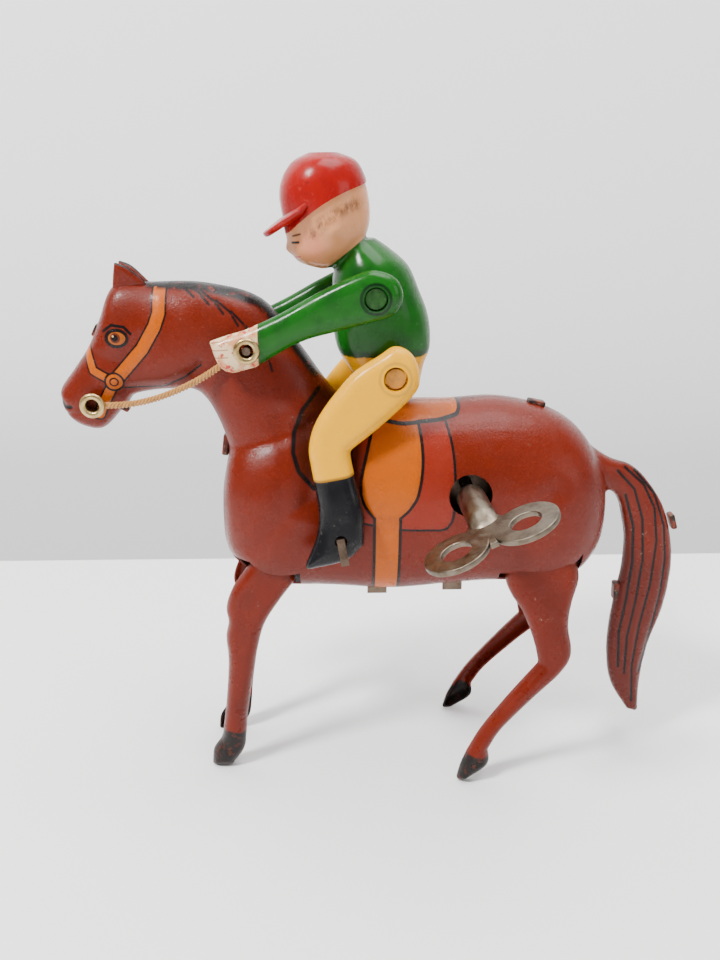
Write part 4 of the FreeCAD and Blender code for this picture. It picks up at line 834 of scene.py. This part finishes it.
# x, z, length along the seam, how far it stands out, turn in degrees
SEAM_TABS = [(-65.4, 113.2, 3.0, 1.4, 62), (-37.0, 85.6, 5.2, 1.6, 82), (-34.2, 56.2, 4.6, 1.7, -38),
             (37.5, 95.4, 4.2, 1.3, -12), (73.9, 64.5, 4.0, 1.4, -72), (61.4, 45.2, 4.8, 1.6, 92),
             (53.6, 57.2, 3.6, 1.2, 62), (-60.8, 95.0, 3.0, 1.2, -30)]


def make_seam_tabs():
    """The bent tabs that lock the halves together, each made as a rounded block that lies flat across the
    seam.
    """
    tabs = []
    for x, z, length, stand, turn in SEAM_TABS:
        box = box_between("tab", (-length / 2, length / 2), (-1.5, 1.5), (-stand / 2, stand / 2))
        rounding = box.modifiers.new("round", "BEVEL")
        rounding.width = 0.00045
        rounding.segments = 3
        applied(box)
        points = positions(box)
        turned = math.radians(turn)
        along, up = points[:, 0].copy(), points[:, 2].copy()
        points[:, 0] = x + along * math.cos(turned) - up * math.sin(turned)
        points[:, 2] = z + along * math.sin(turned) + up * math.cos(turned)
        set_positions(box, points)
        tabs.append(box)
    tabs = shade_smooth(join("seam_tabs", tabs))
    p = Paint("tab_tin", (0.16, 0.035, 0.022), 0.4, 0.3)
    p.layer((0.03, 0.02, 0.018), p.span(p.noise(2.2, 3, shift=3), 0.4, 0.6))
    p.layer(BARE_TIN, p.span(p.noise(0.9, 3, shift=6), 0.58, 0.66))
    tabs.data.materials.append(p.finish(p.noise(0.6, 3), 0.4, 0.15))
    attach(tabs, "horse")


# ---------------------------------------------------------------- horse legs
FRONT_LEG = [
    [(-31.2, 58.8), (-33.2, 56.0), (-36, 51.8), (-37.9, 46.5), (-37.6, 42.2), (-38.4, 38), (-38.2, 31),
    (-39.2, 20), (-40.2, 12.5)],
    [(-40.2, 12.5), (-41, 8.2), (-43.3, 4.4), (-43.9, 0.05)],
    [(-43.9, 0.05), (-38.4, 0.05)],
    [(-38.4, 0.05), (-35.4, 4.4), (-34.6, 9)],
    [(-34.6, 9), (-33.9, 16), (-32.2, 26.5), (-30.7, 34.5), (-28.6, 41.8), (-24.6, 48.4), (-20.8, 53.6)],
    [(-20.8, 53.6), (-22.2, 59), (-24.2, 64.6), (-27.5, 66.0), (-30.2, 63.6), (-31.2, 58.8)],
]
REAR_LEG = [
    [(31.2, 60), (30.4, 54.5), (31.9, 50.2), (34.7, 46), (36.5, 42), (38.3, 37), (39.5, 32)],
    [(39.5, 32), (34.9, 26.5), (29.9, 20.2), (25.4, 14), (22.3, 8.4)],
    [(22.3, 8.4), (20.6, 4.3), (19.5, 0.05)],
    [(19.5, 0.05), (21.9, 0.05)],
    [(21.9, 0.05), (27.4, 4.2), (27.5, 8.6)],
    [(27.5, 8.6), (30.9, 14.3), (38.5, 22.6), (44.9, 29.1), (47.5, 34.4), (46.4, 41.8), (47, 48),
    (48.4, 54.5), (46.9, 60)],
    [(46.9, 60), (44, 67), (39, 70.4), (34.2, 67), (31.2, 60)],
]
FRONT_HOOF_LINE = ((-44, 13.0), (-32, 11.2))
REAR_HOOF_LINE = ((18, 9.0), (30, 8.2))
LEG_DEPTH = 3.2


def pressed_leg(name, runs, side, axle, top_track, splay):
    """Half of a crowned shape, turned into sheet, so that it is convex outside and open on its inner face."""
    leg = pillow(name, closed_outline(runs), LEG_DEPTH, 2.7, 0.42)
    work = bmesh.new()
    work.from_mesh(leg.data)
    geometry = list(work.verts) + list(work.edges) + list(work.faces)
    bmesh.ops.bisect_plane(work, geom=geometry, plane_co=at(0, 0, 0), plane_no=(0, side, 0), clear_inner=True)
    work.to_mesh(leg.data)
    work.free()
    wall = leg.modifiers.new("sheet", "SOLIDIFY")
    wall.thickness = TIN / 1000
    wall.offset = -1
    applied(leg)
    boss = tube_between("boss", axle[0], axle[1], 2.5, side * 0.2, side * (LEG_DEPTH - 0.2))
    leg = join(name, [leg, boss])
    turn = Matrix.Rotation(math.radians(side * splay), 3, "X")
    points = positions(leg)
    pivot = np.array([0, 0, axle[1]])
    points[:, 1] -= side * LEG_DEPTH / 2
    points = (points - pivot) @ np.array(turn).T + pivot
    points[:, 1] += side * top_track
    points[:, 2] = np.maximum(points[:, 2], 0.0)
    set_positions(leg, points)
    return shade_smooth(leg, 45)


# Middle of a leg at its axle, from the seam, and degrees that each pair spreads towards the hooves.
LEG_TOP_TRACK = 10.8
FRONT_SPLAY, REAR_SPLAY = -1.66, 5.88


def make_legs():
    for word, runs, axle, hoof, splay in (
        ("front", FRONT_LEG, FRONT_AXLE, FRONT_HOOF_LINE, FRONT_SPLAY),
        ("rear", REAR_LEG, REAR_AXLE, REAR_HOOF_LINE, REAR_SPLAY),
    ):
        paint = leg_paint(word + "_leg_tin", hoof)
        for side, hand in ((NEAR, "left"), (FAR, "right")):
            leg = pressed_leg("%s_leg_tin_%s" % (word, hand), runs, side, axle, LEG_TOP_TRACK, splay)
            leg.data.materials.append(paint)
            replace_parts(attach(leg, word + "_legs"), "%s_leg_%s" % (word, hand))


# ---------------------------------------------------------------- rider
RIDER_LEG = [
    [(-0.8, 109.6), (2.7, 111.6), (6.4, 109.8), (8.1, 105.2), (7, 101), (-0.1, 94.2), (-7.4, 88.4)],
    [(-7.4, 88.4), (-7.1, 86), (-6, 81), (-4.4, 74.5), (-4.2, 66.8)],
    [(-4.2, 66.8), (-8.6, 62.9), (-17.1, 60.9)],
    [(-17.1, 60.9), (-17.7, 62), (-15.2, 68.5), (-14.6, 74.5), (-15.9, 83), (-16.6, 89.5),
    (-14.2, 96.4), (-7, 105.4), (-0.8, 109.6)],
]
RIDER_ARM = [
    [(-30.5, 115), (-22.6, 118.6), (-14.3, 123.1), (-6.4, 126.8), (-1.9, 127.9), (2.6, 126.2),
    (4.2, 122.4), (2.3, 118.5),
     (-2.4, 116.8), (-10.2, 114.8), (-18.6, 112.3), (-28.4, 106.8)],
    [(-28.4, 106.8), (-33.9, 105.6), (-36.6, 107.8), (-38.2, 112.6)],
    [(-38.2, 112.6), (-34, 114), (-30.5, 115)],
]
TORSO_RIBS = [
    (-4.5, 99.4, 9.2, 99.4, 7.4), (-8.0, 105, 10.2, 105, 9.0), (-10.4, 110, 11.6, 109.6, 9.5), (-11.2,
    117, 11.0, 116.4, 9.6),
    (-11.2, 123, 8.6, 122.6, 9.6), (-10.6, 127, 6.4, 127.4, 9.1), (-9.6, 130, 2.8, 130.8, 7.2), (-9,
    132.6, -1.6, 133.8, 4.6),
]
HEAD_RIBS = [
    (-13.6, 126.9, -10.5, 127.4, 1.5), (-17.2, 128.0, -7.6, 129.0, 5.0), (-20.0, 130.4, -4.8, 131.8,
    7.4), (-21.0, 134.0, -2.9, 135.6, 8.4),
    (-21.6, 138.2, -2.5, 139.4, 8.9), (-22.2, 142.2, -3.0, 143.4, 9.0), (-21.6, 146.2, -4.2, 147.2,
    8.4), (-19.2, 149.8, -6.2, 150.2, 6.4),
    (-15.6, 151.7, -10.2, 151.8, 3.0),
]


def round_ring(row, grow=0.0, count=40):
    front_x, front_z, back_x, back_z, half = row
    ring = []
    for step in range(count):
        angle = 2 * math.pi * step / count
        share = (1 - math.cos(angle)) / 2
        reach = (back_x - front_x) / 2 + grow
        x = (front_x + back_x) / 2 - reach * math.cos(angle)
        z = front_z + (back_z - front_z) * share
        ring.append((x, math.sin(angle) * (half + grow), z))
    return ring


def limb(name, outline_runs, half_depth, side, place):
    """A blown limb: a crowned flat shape, carried to its place by a function of its points."""
    shape = pillow(name, closed_outline(outline_runs), half_depth, 3.0, 0.42)
    points = positions(shape)
    points = place(points, side)
    set_positions(shape, points)
    return shape


# Middles of an arm and a leg from the seam, and the degrees that they turn in and spread.
ARM_TRACK, HIP_TRACK = 13.2, 13.5
ARM_TURN, LEG_SPREAD = 2.45, 8.5


def arm_place(points, side):
    turn = np.array(Matrix.Rotation(math.radians(side * ARM_TURN), 3, "Z"))
    pivot = np.array([SHOULDER[0], 0, 0])
    points = (points - pivot) @ turn.T + pivot
    points[:, 1] += side * ARM_TRACK
    return points


def leg_place(points, side):
    turn = np.array(Matrix.Rotation(math.radians(side * LEG_SPREAD), 3, "X"))
    pivot = np.array([0, 0, HIP[1]])
    points = (points - pivot) @ turn.T + pivot
    points[:, 1] += side * HIP_TRACK
    return points


CAP_EDGE = ((-21.1, 134.9), (-3.9, 145.3))


def cap_edge_height(x):
    """The cap's lower edge at the side, which climbs to the rear."""
    (x1, z1), (x2, z2) = CAP_EDGE
    bulge = 1.3 * math.sin(math.pi * min(1, max(0, (x - x1) / (x2 - x1))))
    return z1 + (x - x1) * (z2 - z1) / (x2 - x1) + bulge


def make_cap():
    dome = ring_loft("dome", [round_ring(row, 0.45) for row in catmull(HEAD_RIBS, 5)])
    dome = remesh(dome, 0.45, 2)
    points = positions(dome)
    keep = np.array([z > cap_edge_height(x) for x, _, z in points])
    work = bmesh.new()
    work.from_mesh(dome.data)
    work.verts.ensure_lookup_table()
    bmesh.ops.delete(work, geom=[work.verts[i] for i in np.nonzero(~keep)[0]], context="VERTS")
    for edge in [e for e in work.edges if e.is_boundary]:
        for vert in edge.verts:
            vert.co.z = cap_edge_height(vert.co.x * 1000) / 1000
    mesh = bpy.data.meshes.new("cap")
    work.to_mesh(mesh)
    work.free()
    bpy.data.objects.remove(dome)
    shell = new_object("cap_shell", mesh)
    wall = shell.modifiers.new("wall", "SOLIDIFY")
    wall.thickness = 0.0007
    wall.offset = -1
    applied(shell)
    brim = make_brim()
    cap = shade_smooth(join("rider_cap", [shell, brim]), 60)
    cap.data.materials.append(cap_paint())
    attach(cap, "rider")


def make_brim():
    """A curved peak that runs forward and down from the cap's front edge."""
    columns, rows = 28, 7
    vertices, faces = [], []
    for i in range(columns + 1):
        angle = math.radians(-70 + 140 * i / columns)
        inner_x = -12.4 - 9.2 * math.cos(angle)
        inner_y = 9.1 * math.sin(angle)
        inner_z = cap_edge_height(inner_x) + 0.9 + 1.5 * math.cos(angle)
        reach = 4.2 * max(0.0, math.cos(angle)) ** 0.7
        for j in range(rows + 1):
            share = j / rows
            out = reach * share
            x = inner_x - out * math.cos(angle * 0.6)
            y = inner_y + out * math.sin(angle * 0.6) * 0.5
            z = inner_z - 2.9 * share * reach / 4.2 - 0.5 * share**2 + 0.02 * abs(inner_y) * share
            vertices.append(at(x, z, y))
    stride = rows + 1
    for i in range(columns):
        for j in range(rows):
            a = i * stride + j
            faces.append([a, a + 1, a + stride + 1, a + stride])
    brim = mesh_from("brim", vertices, faces)
    wall = brim.modifiers.new("wall", "SOLIDIFY")
    wall.thickness = 0.0014
    wall.offset = -1
    smooth = brim.modifiers.new("smooth", "SUBSURF")
    smooth.levels = 1
    return applied(brim)


def shape_face(figure):
    """A doll's nose, chin and brow, and an ear on each side."""
    points = positions(figure)
    bumps = [((-21.0, 0, 131.2), 1.5, (-1.1, -0.2)), ((-18.6, 0, 128.0), 1.8, (-0.6, -0.1)),
        ((-20.4, 0, 135.0), 2.6, (-0.4, 0.0))]
    for centre, radius, push in bumps:
        near = np.exp(-np.sum((points - np.array(centre)) ** 2, axis=1) / radius**2)
        points[:, 0] += near * push[0]
        points[:, 2] += near * push[1]
    for side in (NEAR, FAR):
        ear = np.exp(-((points[:, 0] + 10.6) ** 2 + (points[:,
            2] - 135.6) ** 2) / 2.2) * (np.sign(points[:, 1]) == side)
        points[:, 1] += side * ear * 0.9
        socket = np.exp(-((points[:, 0] + 18.9) ** 2 + (points[:,
            2] - 133.2) ** 2) / 2.0) * (np.sign(points[:, 1]) == side)
        points[:, 0] += socket * 0.35
    set_positions(figure, points)


def make_rider():
    torso = ring_loft("torso", [round_ring(row) for row in catmull(TORSO_RIBS, 5)])
    head = ring_loft("head", [round_ring(row) for row in catmull(HEAD_RIBS, 5)])
    figure = remesh(join("rider_figure", [torso, head]), 0.42, 6)
    shape_face(figure)
    opening = box_between("opening", (-3.5, 8), (-4, 4), (90, 104.5))
    cut(figure, opening)
    shade_smooth(figure, 60)
    figure.data.materials.append(rider_paint())
    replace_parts(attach(figure, "rider"), "rider_body")
    make_cap()
    arm_material = arm_paint()
    leg_material = rider_leg_paint()
    for side, hand in ((NEAR, "left"), (FAR, "right")):
        arm = limb("arm_" + hand, RIDER_ARM, 2.1, side, arm_place)
        cut(arm, tube_between("bore", SHOULDER[0], SHOULDER[1], 2.6, -30, 30))
        cut(arm, tube_between("bore", HAND[0], HAND[1], 1.8, -30, 30))
        shade_smooth(arm, 50)
        arm.data.materials.append(arm_material)
        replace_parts(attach(arm, "rider_arms"), "rider_arm_" + hand)
        leg = limb("leg_" + hand, RIDER_LEG, 2.5, side, leg_place)
        cut(leg, tube_between("bore", HIP[0], HIP[1], 2.7, -30, 30))
        cut(leg, tube_between("bore", -9.6, 68.6, 1.4, -30, 30))
        shade_smooth(leg, 50)
        leg.data.materials.append(leg_material)
        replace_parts(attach(leg, "rider_legs"), "rider_leg_" + hand)


# ---------------------------------------------------------------- eyelets, key and reins
def flanged_profile(bore, barrel, flange, start, end, side):
    """A rolled brass flange facing outwards on the end of a barrel."""
    curl = 0.55
    profile = [(bore, start), (bore, end)]
    for step in range(9):
        angle = math.pi * step / 8
        radius = bore + (flange - bore) * (0.5 - 0.5 * math.cos(angle))
        profile.append((radius, end + side * curl * math.sin(angle)))
    profile += [(flange, end - side * 0.12), (barrel + 0.3, end - side * 0.05),
        (barrel, end - side * 0.3), (barrel, start)]
    return profile


def make_eyelets():
    brass = metal("aged_brass", (0.50, 0.36, 0.16), (0.26, 0.16, 0.06), 0.34, 0.7)
    for side, hand in ((NEAR, "left"), (FAR, "right")):
        low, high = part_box("hand_eyelet_" + hand)
        spans = sorted(((low[1] * 1000 - SEAM), (high[1] * 1000 - SEAM)), key=abs)
        profile = flanged_profile(1.45, 1.8, 2.9, spans[0], spans[1] - side * 0.55, side)
        eyelet = shade_smooth(lathe("hand_eyelet_ring_" + hand, HAND[0], HAND[1], profile), 50)
        eyelet.data.materials.append(brass)
        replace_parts(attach(eyelet, "rider_arms"), "hand_eyelet_" + hand)
    low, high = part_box("mouth_eyelet")
    halves = []
    for side in (NEAR, FAR):
        edge = high[1] * 1000 - SEAM if side == FAR else low[1] * 1000 - SEAM
        profile = flanged_profile(1.45, 1.8, 2.9, side * 0.02, edge - side * 0.55, side)
        halves.append(lathe("half_eyelet", MOUTH[0], MOUTH[1], profile))
    eyelet = shade_smooth(join("mouth_eyelet_ring", halves), 50)
    eyelet.data.materials.append(brass)
    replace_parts(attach(eyelet, "horse"), "mouth_eyelet")
    return brass


KEY_HALF_SPAN, KEY_LOBE, KEY_EYE, KEY_WALL = 14.9, 7.2, 3.3, 1.3
KEY_TURN, KEY_LEAN, KEY_DROOP, KEY_REACH = 24.6, 2.9, 2.0, 22.9
KEY_WAIST_START = -3.3


def circle_points(x, radius, first=0.0, last=360.0, count=48):
    """Points round a wing from one angle to another, in degrees."""
    points = []
    for step in range(count + 1):
        angle = math.radians(first + (last - first) * step / count)
        points.append((x + radius * math.cos(angle), radius * math.sin(angle)))
    return points


def key_outline():
    """Two round wings that grow out of the flattened socket, with a notch between them at the outer edge."""
    wing = KEY_HALF_SPAN - KEY_LOBE
    meet = math.degrees(math.acos(min(1.0, wing / KEY_LOBE * 0.93)))
    notch = 180 - meet - 10
    right = circle_points(wing, KEY_LOBE, -notch, 118)
    left = [(-x, y) for x, y in reversed(right)]
    neck = [(3.6, KEY_LOBE + 0.5), (3.2, KEY_LOBE + 1.6), (-3.2, KEY_LOBE + 1.6), (-3.6, KEY_LOBE + 0.5)]
    bottom = [(-0.9, KEY_WAIST_START), (0.9, KEY_WAIST_START)]
    return right + neck + left + bottom


def make_key(steel):
    wing = KEY_HALF_SPAN - KEY_LOBE
    edge = 0.3
    curve = bpy.data.curves.new("key_plate", "CURVE")
    curve.dimensions = "2D"
    curve.fill_mode = "BOTH"
    curve.extrude = (KEY_WALL / 2 - edge) / 1000
    curve.bevel_depth = edge / 1000
    curve.bevel_resolution = 3
    curve.offset = -edge / 1000
    for points in (key_outline(), circle_points(wing, KEY_EYE)[:-1], circle_points(-wing, KEY_EYE)[:-1]):
        spline = curve.splines.new("POLY")
        spline.points.add(len(points) - 1)
        spline.use_cyclic_u = True
        for point, (x, y) in zip(spline.points, points):
            point.co = (x / 1000, y / 1000, 0, 1)
    holder = new_object("key_plate_curve", curve)
    depsgraph = bpy.context.evaluated_depsgraph_get()
    mesh = bpy.data.meshes.new_from_object(holder.evaluated_get(depsgraph))
    bpy.data.objects.remove(holder)
    plate = new_object("key_plate", mesh)
    plate.data.transform(Matrix.Translation((0, SEAM / 1000, 0)))
    length = KEY_REACH - 1.0
    deep = KEY_LOBE + 1.0
    socket = [(2.6, deep), (2.6, length), (2.75, length + 0.12), (3.15, length + 0.12), (3.3, length),
        (3.3, deep + 1.5), (3.0, deep),
              (2.3, deep - 2.2), (1.2, deep - 3.6), (0.05, deep - 4.0), (0.05, deep)]
    barrel = lathe("key_socket", 0, 0, socket)
    points = positions(barrel)
    flat = smoothstep((deep + 1.5 - points[:, 1]) / 5.0)
    points[:, 0] *= 1 + 0.55 * flat
    points[:, 2] *= 1 - 0.55 * flat
    set_positions(barrel, points)
    key = join("winding_key_piece", [plate, barrel])
    points = positions(key)
    spin = np.array(Matrix.Rotation(math.radians(-KEY_TURN), 3, "Y"))
    lean = np.array(Matrix.Rotation(math.radians(KEY_LEAN), 3, "Z"))
    droop = np.array(Matrix.Rotation(math.radians(KEY_DROOP), 3, "X"))
    points = points @ spin.T
    pivot = np.array([0, KEY_REACH - 3.0, 0])
    points = (points - pivot) @ lean.T @ droop.T + pivot
    points += np.array([KEY_AXIS[0], -SIDE - KEY_REACH, KEY_AXIS[1]])
    set_positions(key, points)
    shade_smooth(key, 40)
    key.data.materials.append(steel)
    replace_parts(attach(key, "winding"), "winding_key")


# The rein's route on the far side, the same points as in the CAD model.
REIN_ROUTE = [
    (-63.2, 7.5, 97.2),
    (-58.5, 7.9, 97.3),
    (-52.3, 8.4, 98.6),
    (-46.2, 8.8, 100.9),
    (-40.8, 9.0, 103.6),
    (-36.4, 9.05, 106.5),
    (-31.0, 9.1, 110.0),
]
REIN_RADIUS = 0.8


def rein_line(side):
    """Points read from the route's smooth NURBS line."""
    curve = bpy.data.curves.new("rein_line", "CURVE")
    curve.dimensions = "3D"
    curve.resolution_u = 14
    spline = curve.splines.new("NURBS")
    spline.points.add(len(REIN_ROUTE) - 1)
    for point, (x, y, z) in zip(spline.points, REIN_ROUTE):
        point.co = (*at(x, z, side * y), 1)
    spline.order_u = 3
    spline.use_endpoint_u = True
    holder = new_object("rein_line", curve)
    depsgraph = bpy.context.evaluated_depsgraph_get()
    mesh = bpy.data.meshes.new_from_object(holder.evaluated_get(depsgraph))
    points = [vertex.co.copy() for vertex in mesh.vertices]
    bpy.data.objects.remove(holder)
    return points


def twisted_string(name, line, radius, strands=3, pitch=2.6):
    """Strands that wind round each other along the line."""
    strand = radius * 0.52 / 1000
    offset = radius * 0.48 / 1000
    fine = catmull([tuple(p) for p in line], 3)
    lengths = np.concatenate([[0], np.cumsum(np.linalg.norm(np.diff(fine, axis=0), axis=1))])
    sides = 10
    vertices, faces = [], []
    for index in range(strands):
        base = len(vertices)
        for row, (point, run) in enumerate(zip(fine, lengths)):
            ahead = fine[min(row + 1, len(fine) - 1)] - fine[max(row - 1, 0)]
            ahead = Vector(ahead).normalized()
            across = ahead.cross(Vector((0, 1, 0))).normalized()
            up = across.cross(ahead)
            turn = 2 * math.pi * (run * 1000 / pitch + index / strands)
            centre = Vector(point) + (across * math.cos(turn) + up * math.sin(turn)) * offset
            for k in range(sides):
                angle = 2 * math.pi * k / sides
                vertices.append(centre + (across * math.cos(angle) + up * math.sin(angle)) * strand)
        rows = len(fine)
        for row in range(rows - 1):
            a, b = base + row * sides, base + (row + 1) * sides
            faces += [[a + k, a + (k + 1) % sides, b + (k + 1) % sides, b + k] for k in range(sides)]
        faces += [[base + k for k in range(sides)][::-1],
            [base + (rows - 1) * sides + k for k in range(sides)]]
    return shade_smooth(mesh_from(name, vertices, faces), 60)


def make_reins():
    material = string_paint()
    for side, hand in ((NEAR, "left"), (FAR, "right")):
        line = rein_line(side)
        rein = twisted_string("rein_string_" + hand, line, REIN_RADIUS)
        rein.data.materials.append(material)
        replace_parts(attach(rein, "horse"), "rein_" + hand)


# ---------------------------------------------------------------- CAD nodes that stay
def paint_nodes(brass, steel):
    dark = metal("oiled_steel", (0.22, 0.20, 0.18), (0.09, 0.075, 0.06), 0.42, 0.5)
    rusty = metal("browned_steel", (0.13, 0.095, 0.07), (0.05, 0.03, 0.02), 0.45, 0.7)
    green = pin_paint("pin_green", (0.022, 0.085, 0.016), (0.008, 0.03, 0.006))
    ochre = pin_paint("pin_ochre", (0.48, 0.20, 0.02), (0.22, 0.09, 0.02))
    by_slot = {"brass": brass, "steel": steel, "dark_steel": dark}
    slots = {part["node"]: part["material_slot"] for part in frame["record"]["subparts"]}
    special = {"shoulder_pin": green, "hip_pin": ochre}
    for name in ("neck_pin", "stirrup_bar", "motor_plate_left", "motor_plate_right"):
        special[name] = rusty
    for name, obj in frame["nodes"].items():
        material = special.get(name) or by_slot.get(slots.get(name))
        if material is not None:
            obj.data.materials.clear()
            obj.data.materials.append(material)


# ---------------------------------------------------------------- stage
FLOOR_END = 123.0


def paper(name, color, glow=0.0):
    paint = bpy.data.materials.new(name)
    paint.use_nodes = True
    shader = paint.node_tree.nodes["Principled BSDF"]
    shader.inputs["Base Color"].default_value = (*color, 1)
    shader.inputs["Roughness"].default_value = 0.8
    shader.inputs["Emission Color"].default_value = (1, 1, 1, 1)
    shader.inputs["Emission Strength"].default_value = glow
    return paint


def make_stage():
    """A white board that ends behind the toy, before a grey wall, lit by a window and a bright ceiling."""
    reach = 1.6
    end = at(0, 0, FLOOR_END)[1]
    floor = mesh_from("floor", [(-reach, -reach, 0), (reach, -reach, 0), (reach, end, 0),
        (-reach, end, 0)], [[0, 1, 2, 3]])
    floor.data.materials.append(paper("floor_paper", (0.86, 0.85, 0.84)))
    back = end + 0.12
    corners = [(-reach, back, -reach), (reach, back, -reach), (reach, back, reach), (-reach, back, reach)]
    wall = mesh_from("backdrop", corners, [[0, 1, 2, 3]])
    wall.data.materials.append(paper("wall_paper", (0.78, 0.78, 0.78), 0.34))
    world = bpy.data.worlds.new("soft_room")
    world.use_nodes = True
    world.node_tree.nodes["Background"].inputs["Color"].default_value = (0.95, 0.96, 1.0, 1)
    world.node_tree.nodes["Background"].inputs["Strength"].default_value = 0.38
    bpy.context.scene.world = world
    for name, place, size, power in (
        ("window", (-0.50, -0.35, 0.80), 0.16, 14.0),
        ("ceiling", (0.15, -0.05, 0.95), 0.6, 11.0),
        ("fill", (0.75, -0.55, 0.35), 0.4, 1.6),
    ):
        light = bpy.data.lights.new(name, "AREA")
        light.size = size
        light.energy = power
        lamp = bpy.data.objects.new(name, light)
        bpy.context.scene.collection.objects.link(lamp)
        lamp.location = place
        lamp.rotation_euler = (Vector((0, 0, 0.07)) - Vector(place)).to_track_quat("-Z", "Y").to_euler()


CAMERA_PLACE = (-10.23, 149.1, -208.8)
CAMERA_PITCH = 19.29
CAMERA_YAW = 1.5


def make_camera():
    camera = bpy.data.cameras.new("camera")
    camera.lens = 33.75
    camera.sensor_width = 36
    camera.clip_start = 0.01
    holder = bpy.data.objects.new("camera", camera)
    bpy.context.scene.collection.objects.link(holder)
    x, z, y = CAMERA_PLACE
    holder.location = at(x, z, y)
    pitch, yaw = math.radians(CAMERA_PITCH), math.radians(CAMERA_YAW)
    ahead = Vector((math.sin(yaw) * math.cos(pitch), math.cos(yaw) * math.cos(pitch), -math.sin(pitch)))
    holder.rotation_euler = ahead.to_track_quat("-Z", "Y").to_euler()
    bpy.context.scene.camera = holder


make_horse()
make_seam_tabs()
make_legs()
make_rider()
brass_metal = make_eyelets()
steel_metal = metal("plated_steel", (0.17, 0.14, 0.105), (0.07, 0.05, 0.032), 0.38, 0.7)
make_key(steel_metal)
make_reins()
paint_nodes(brass_metal, steel_metal)
make_stage()
make_camera()
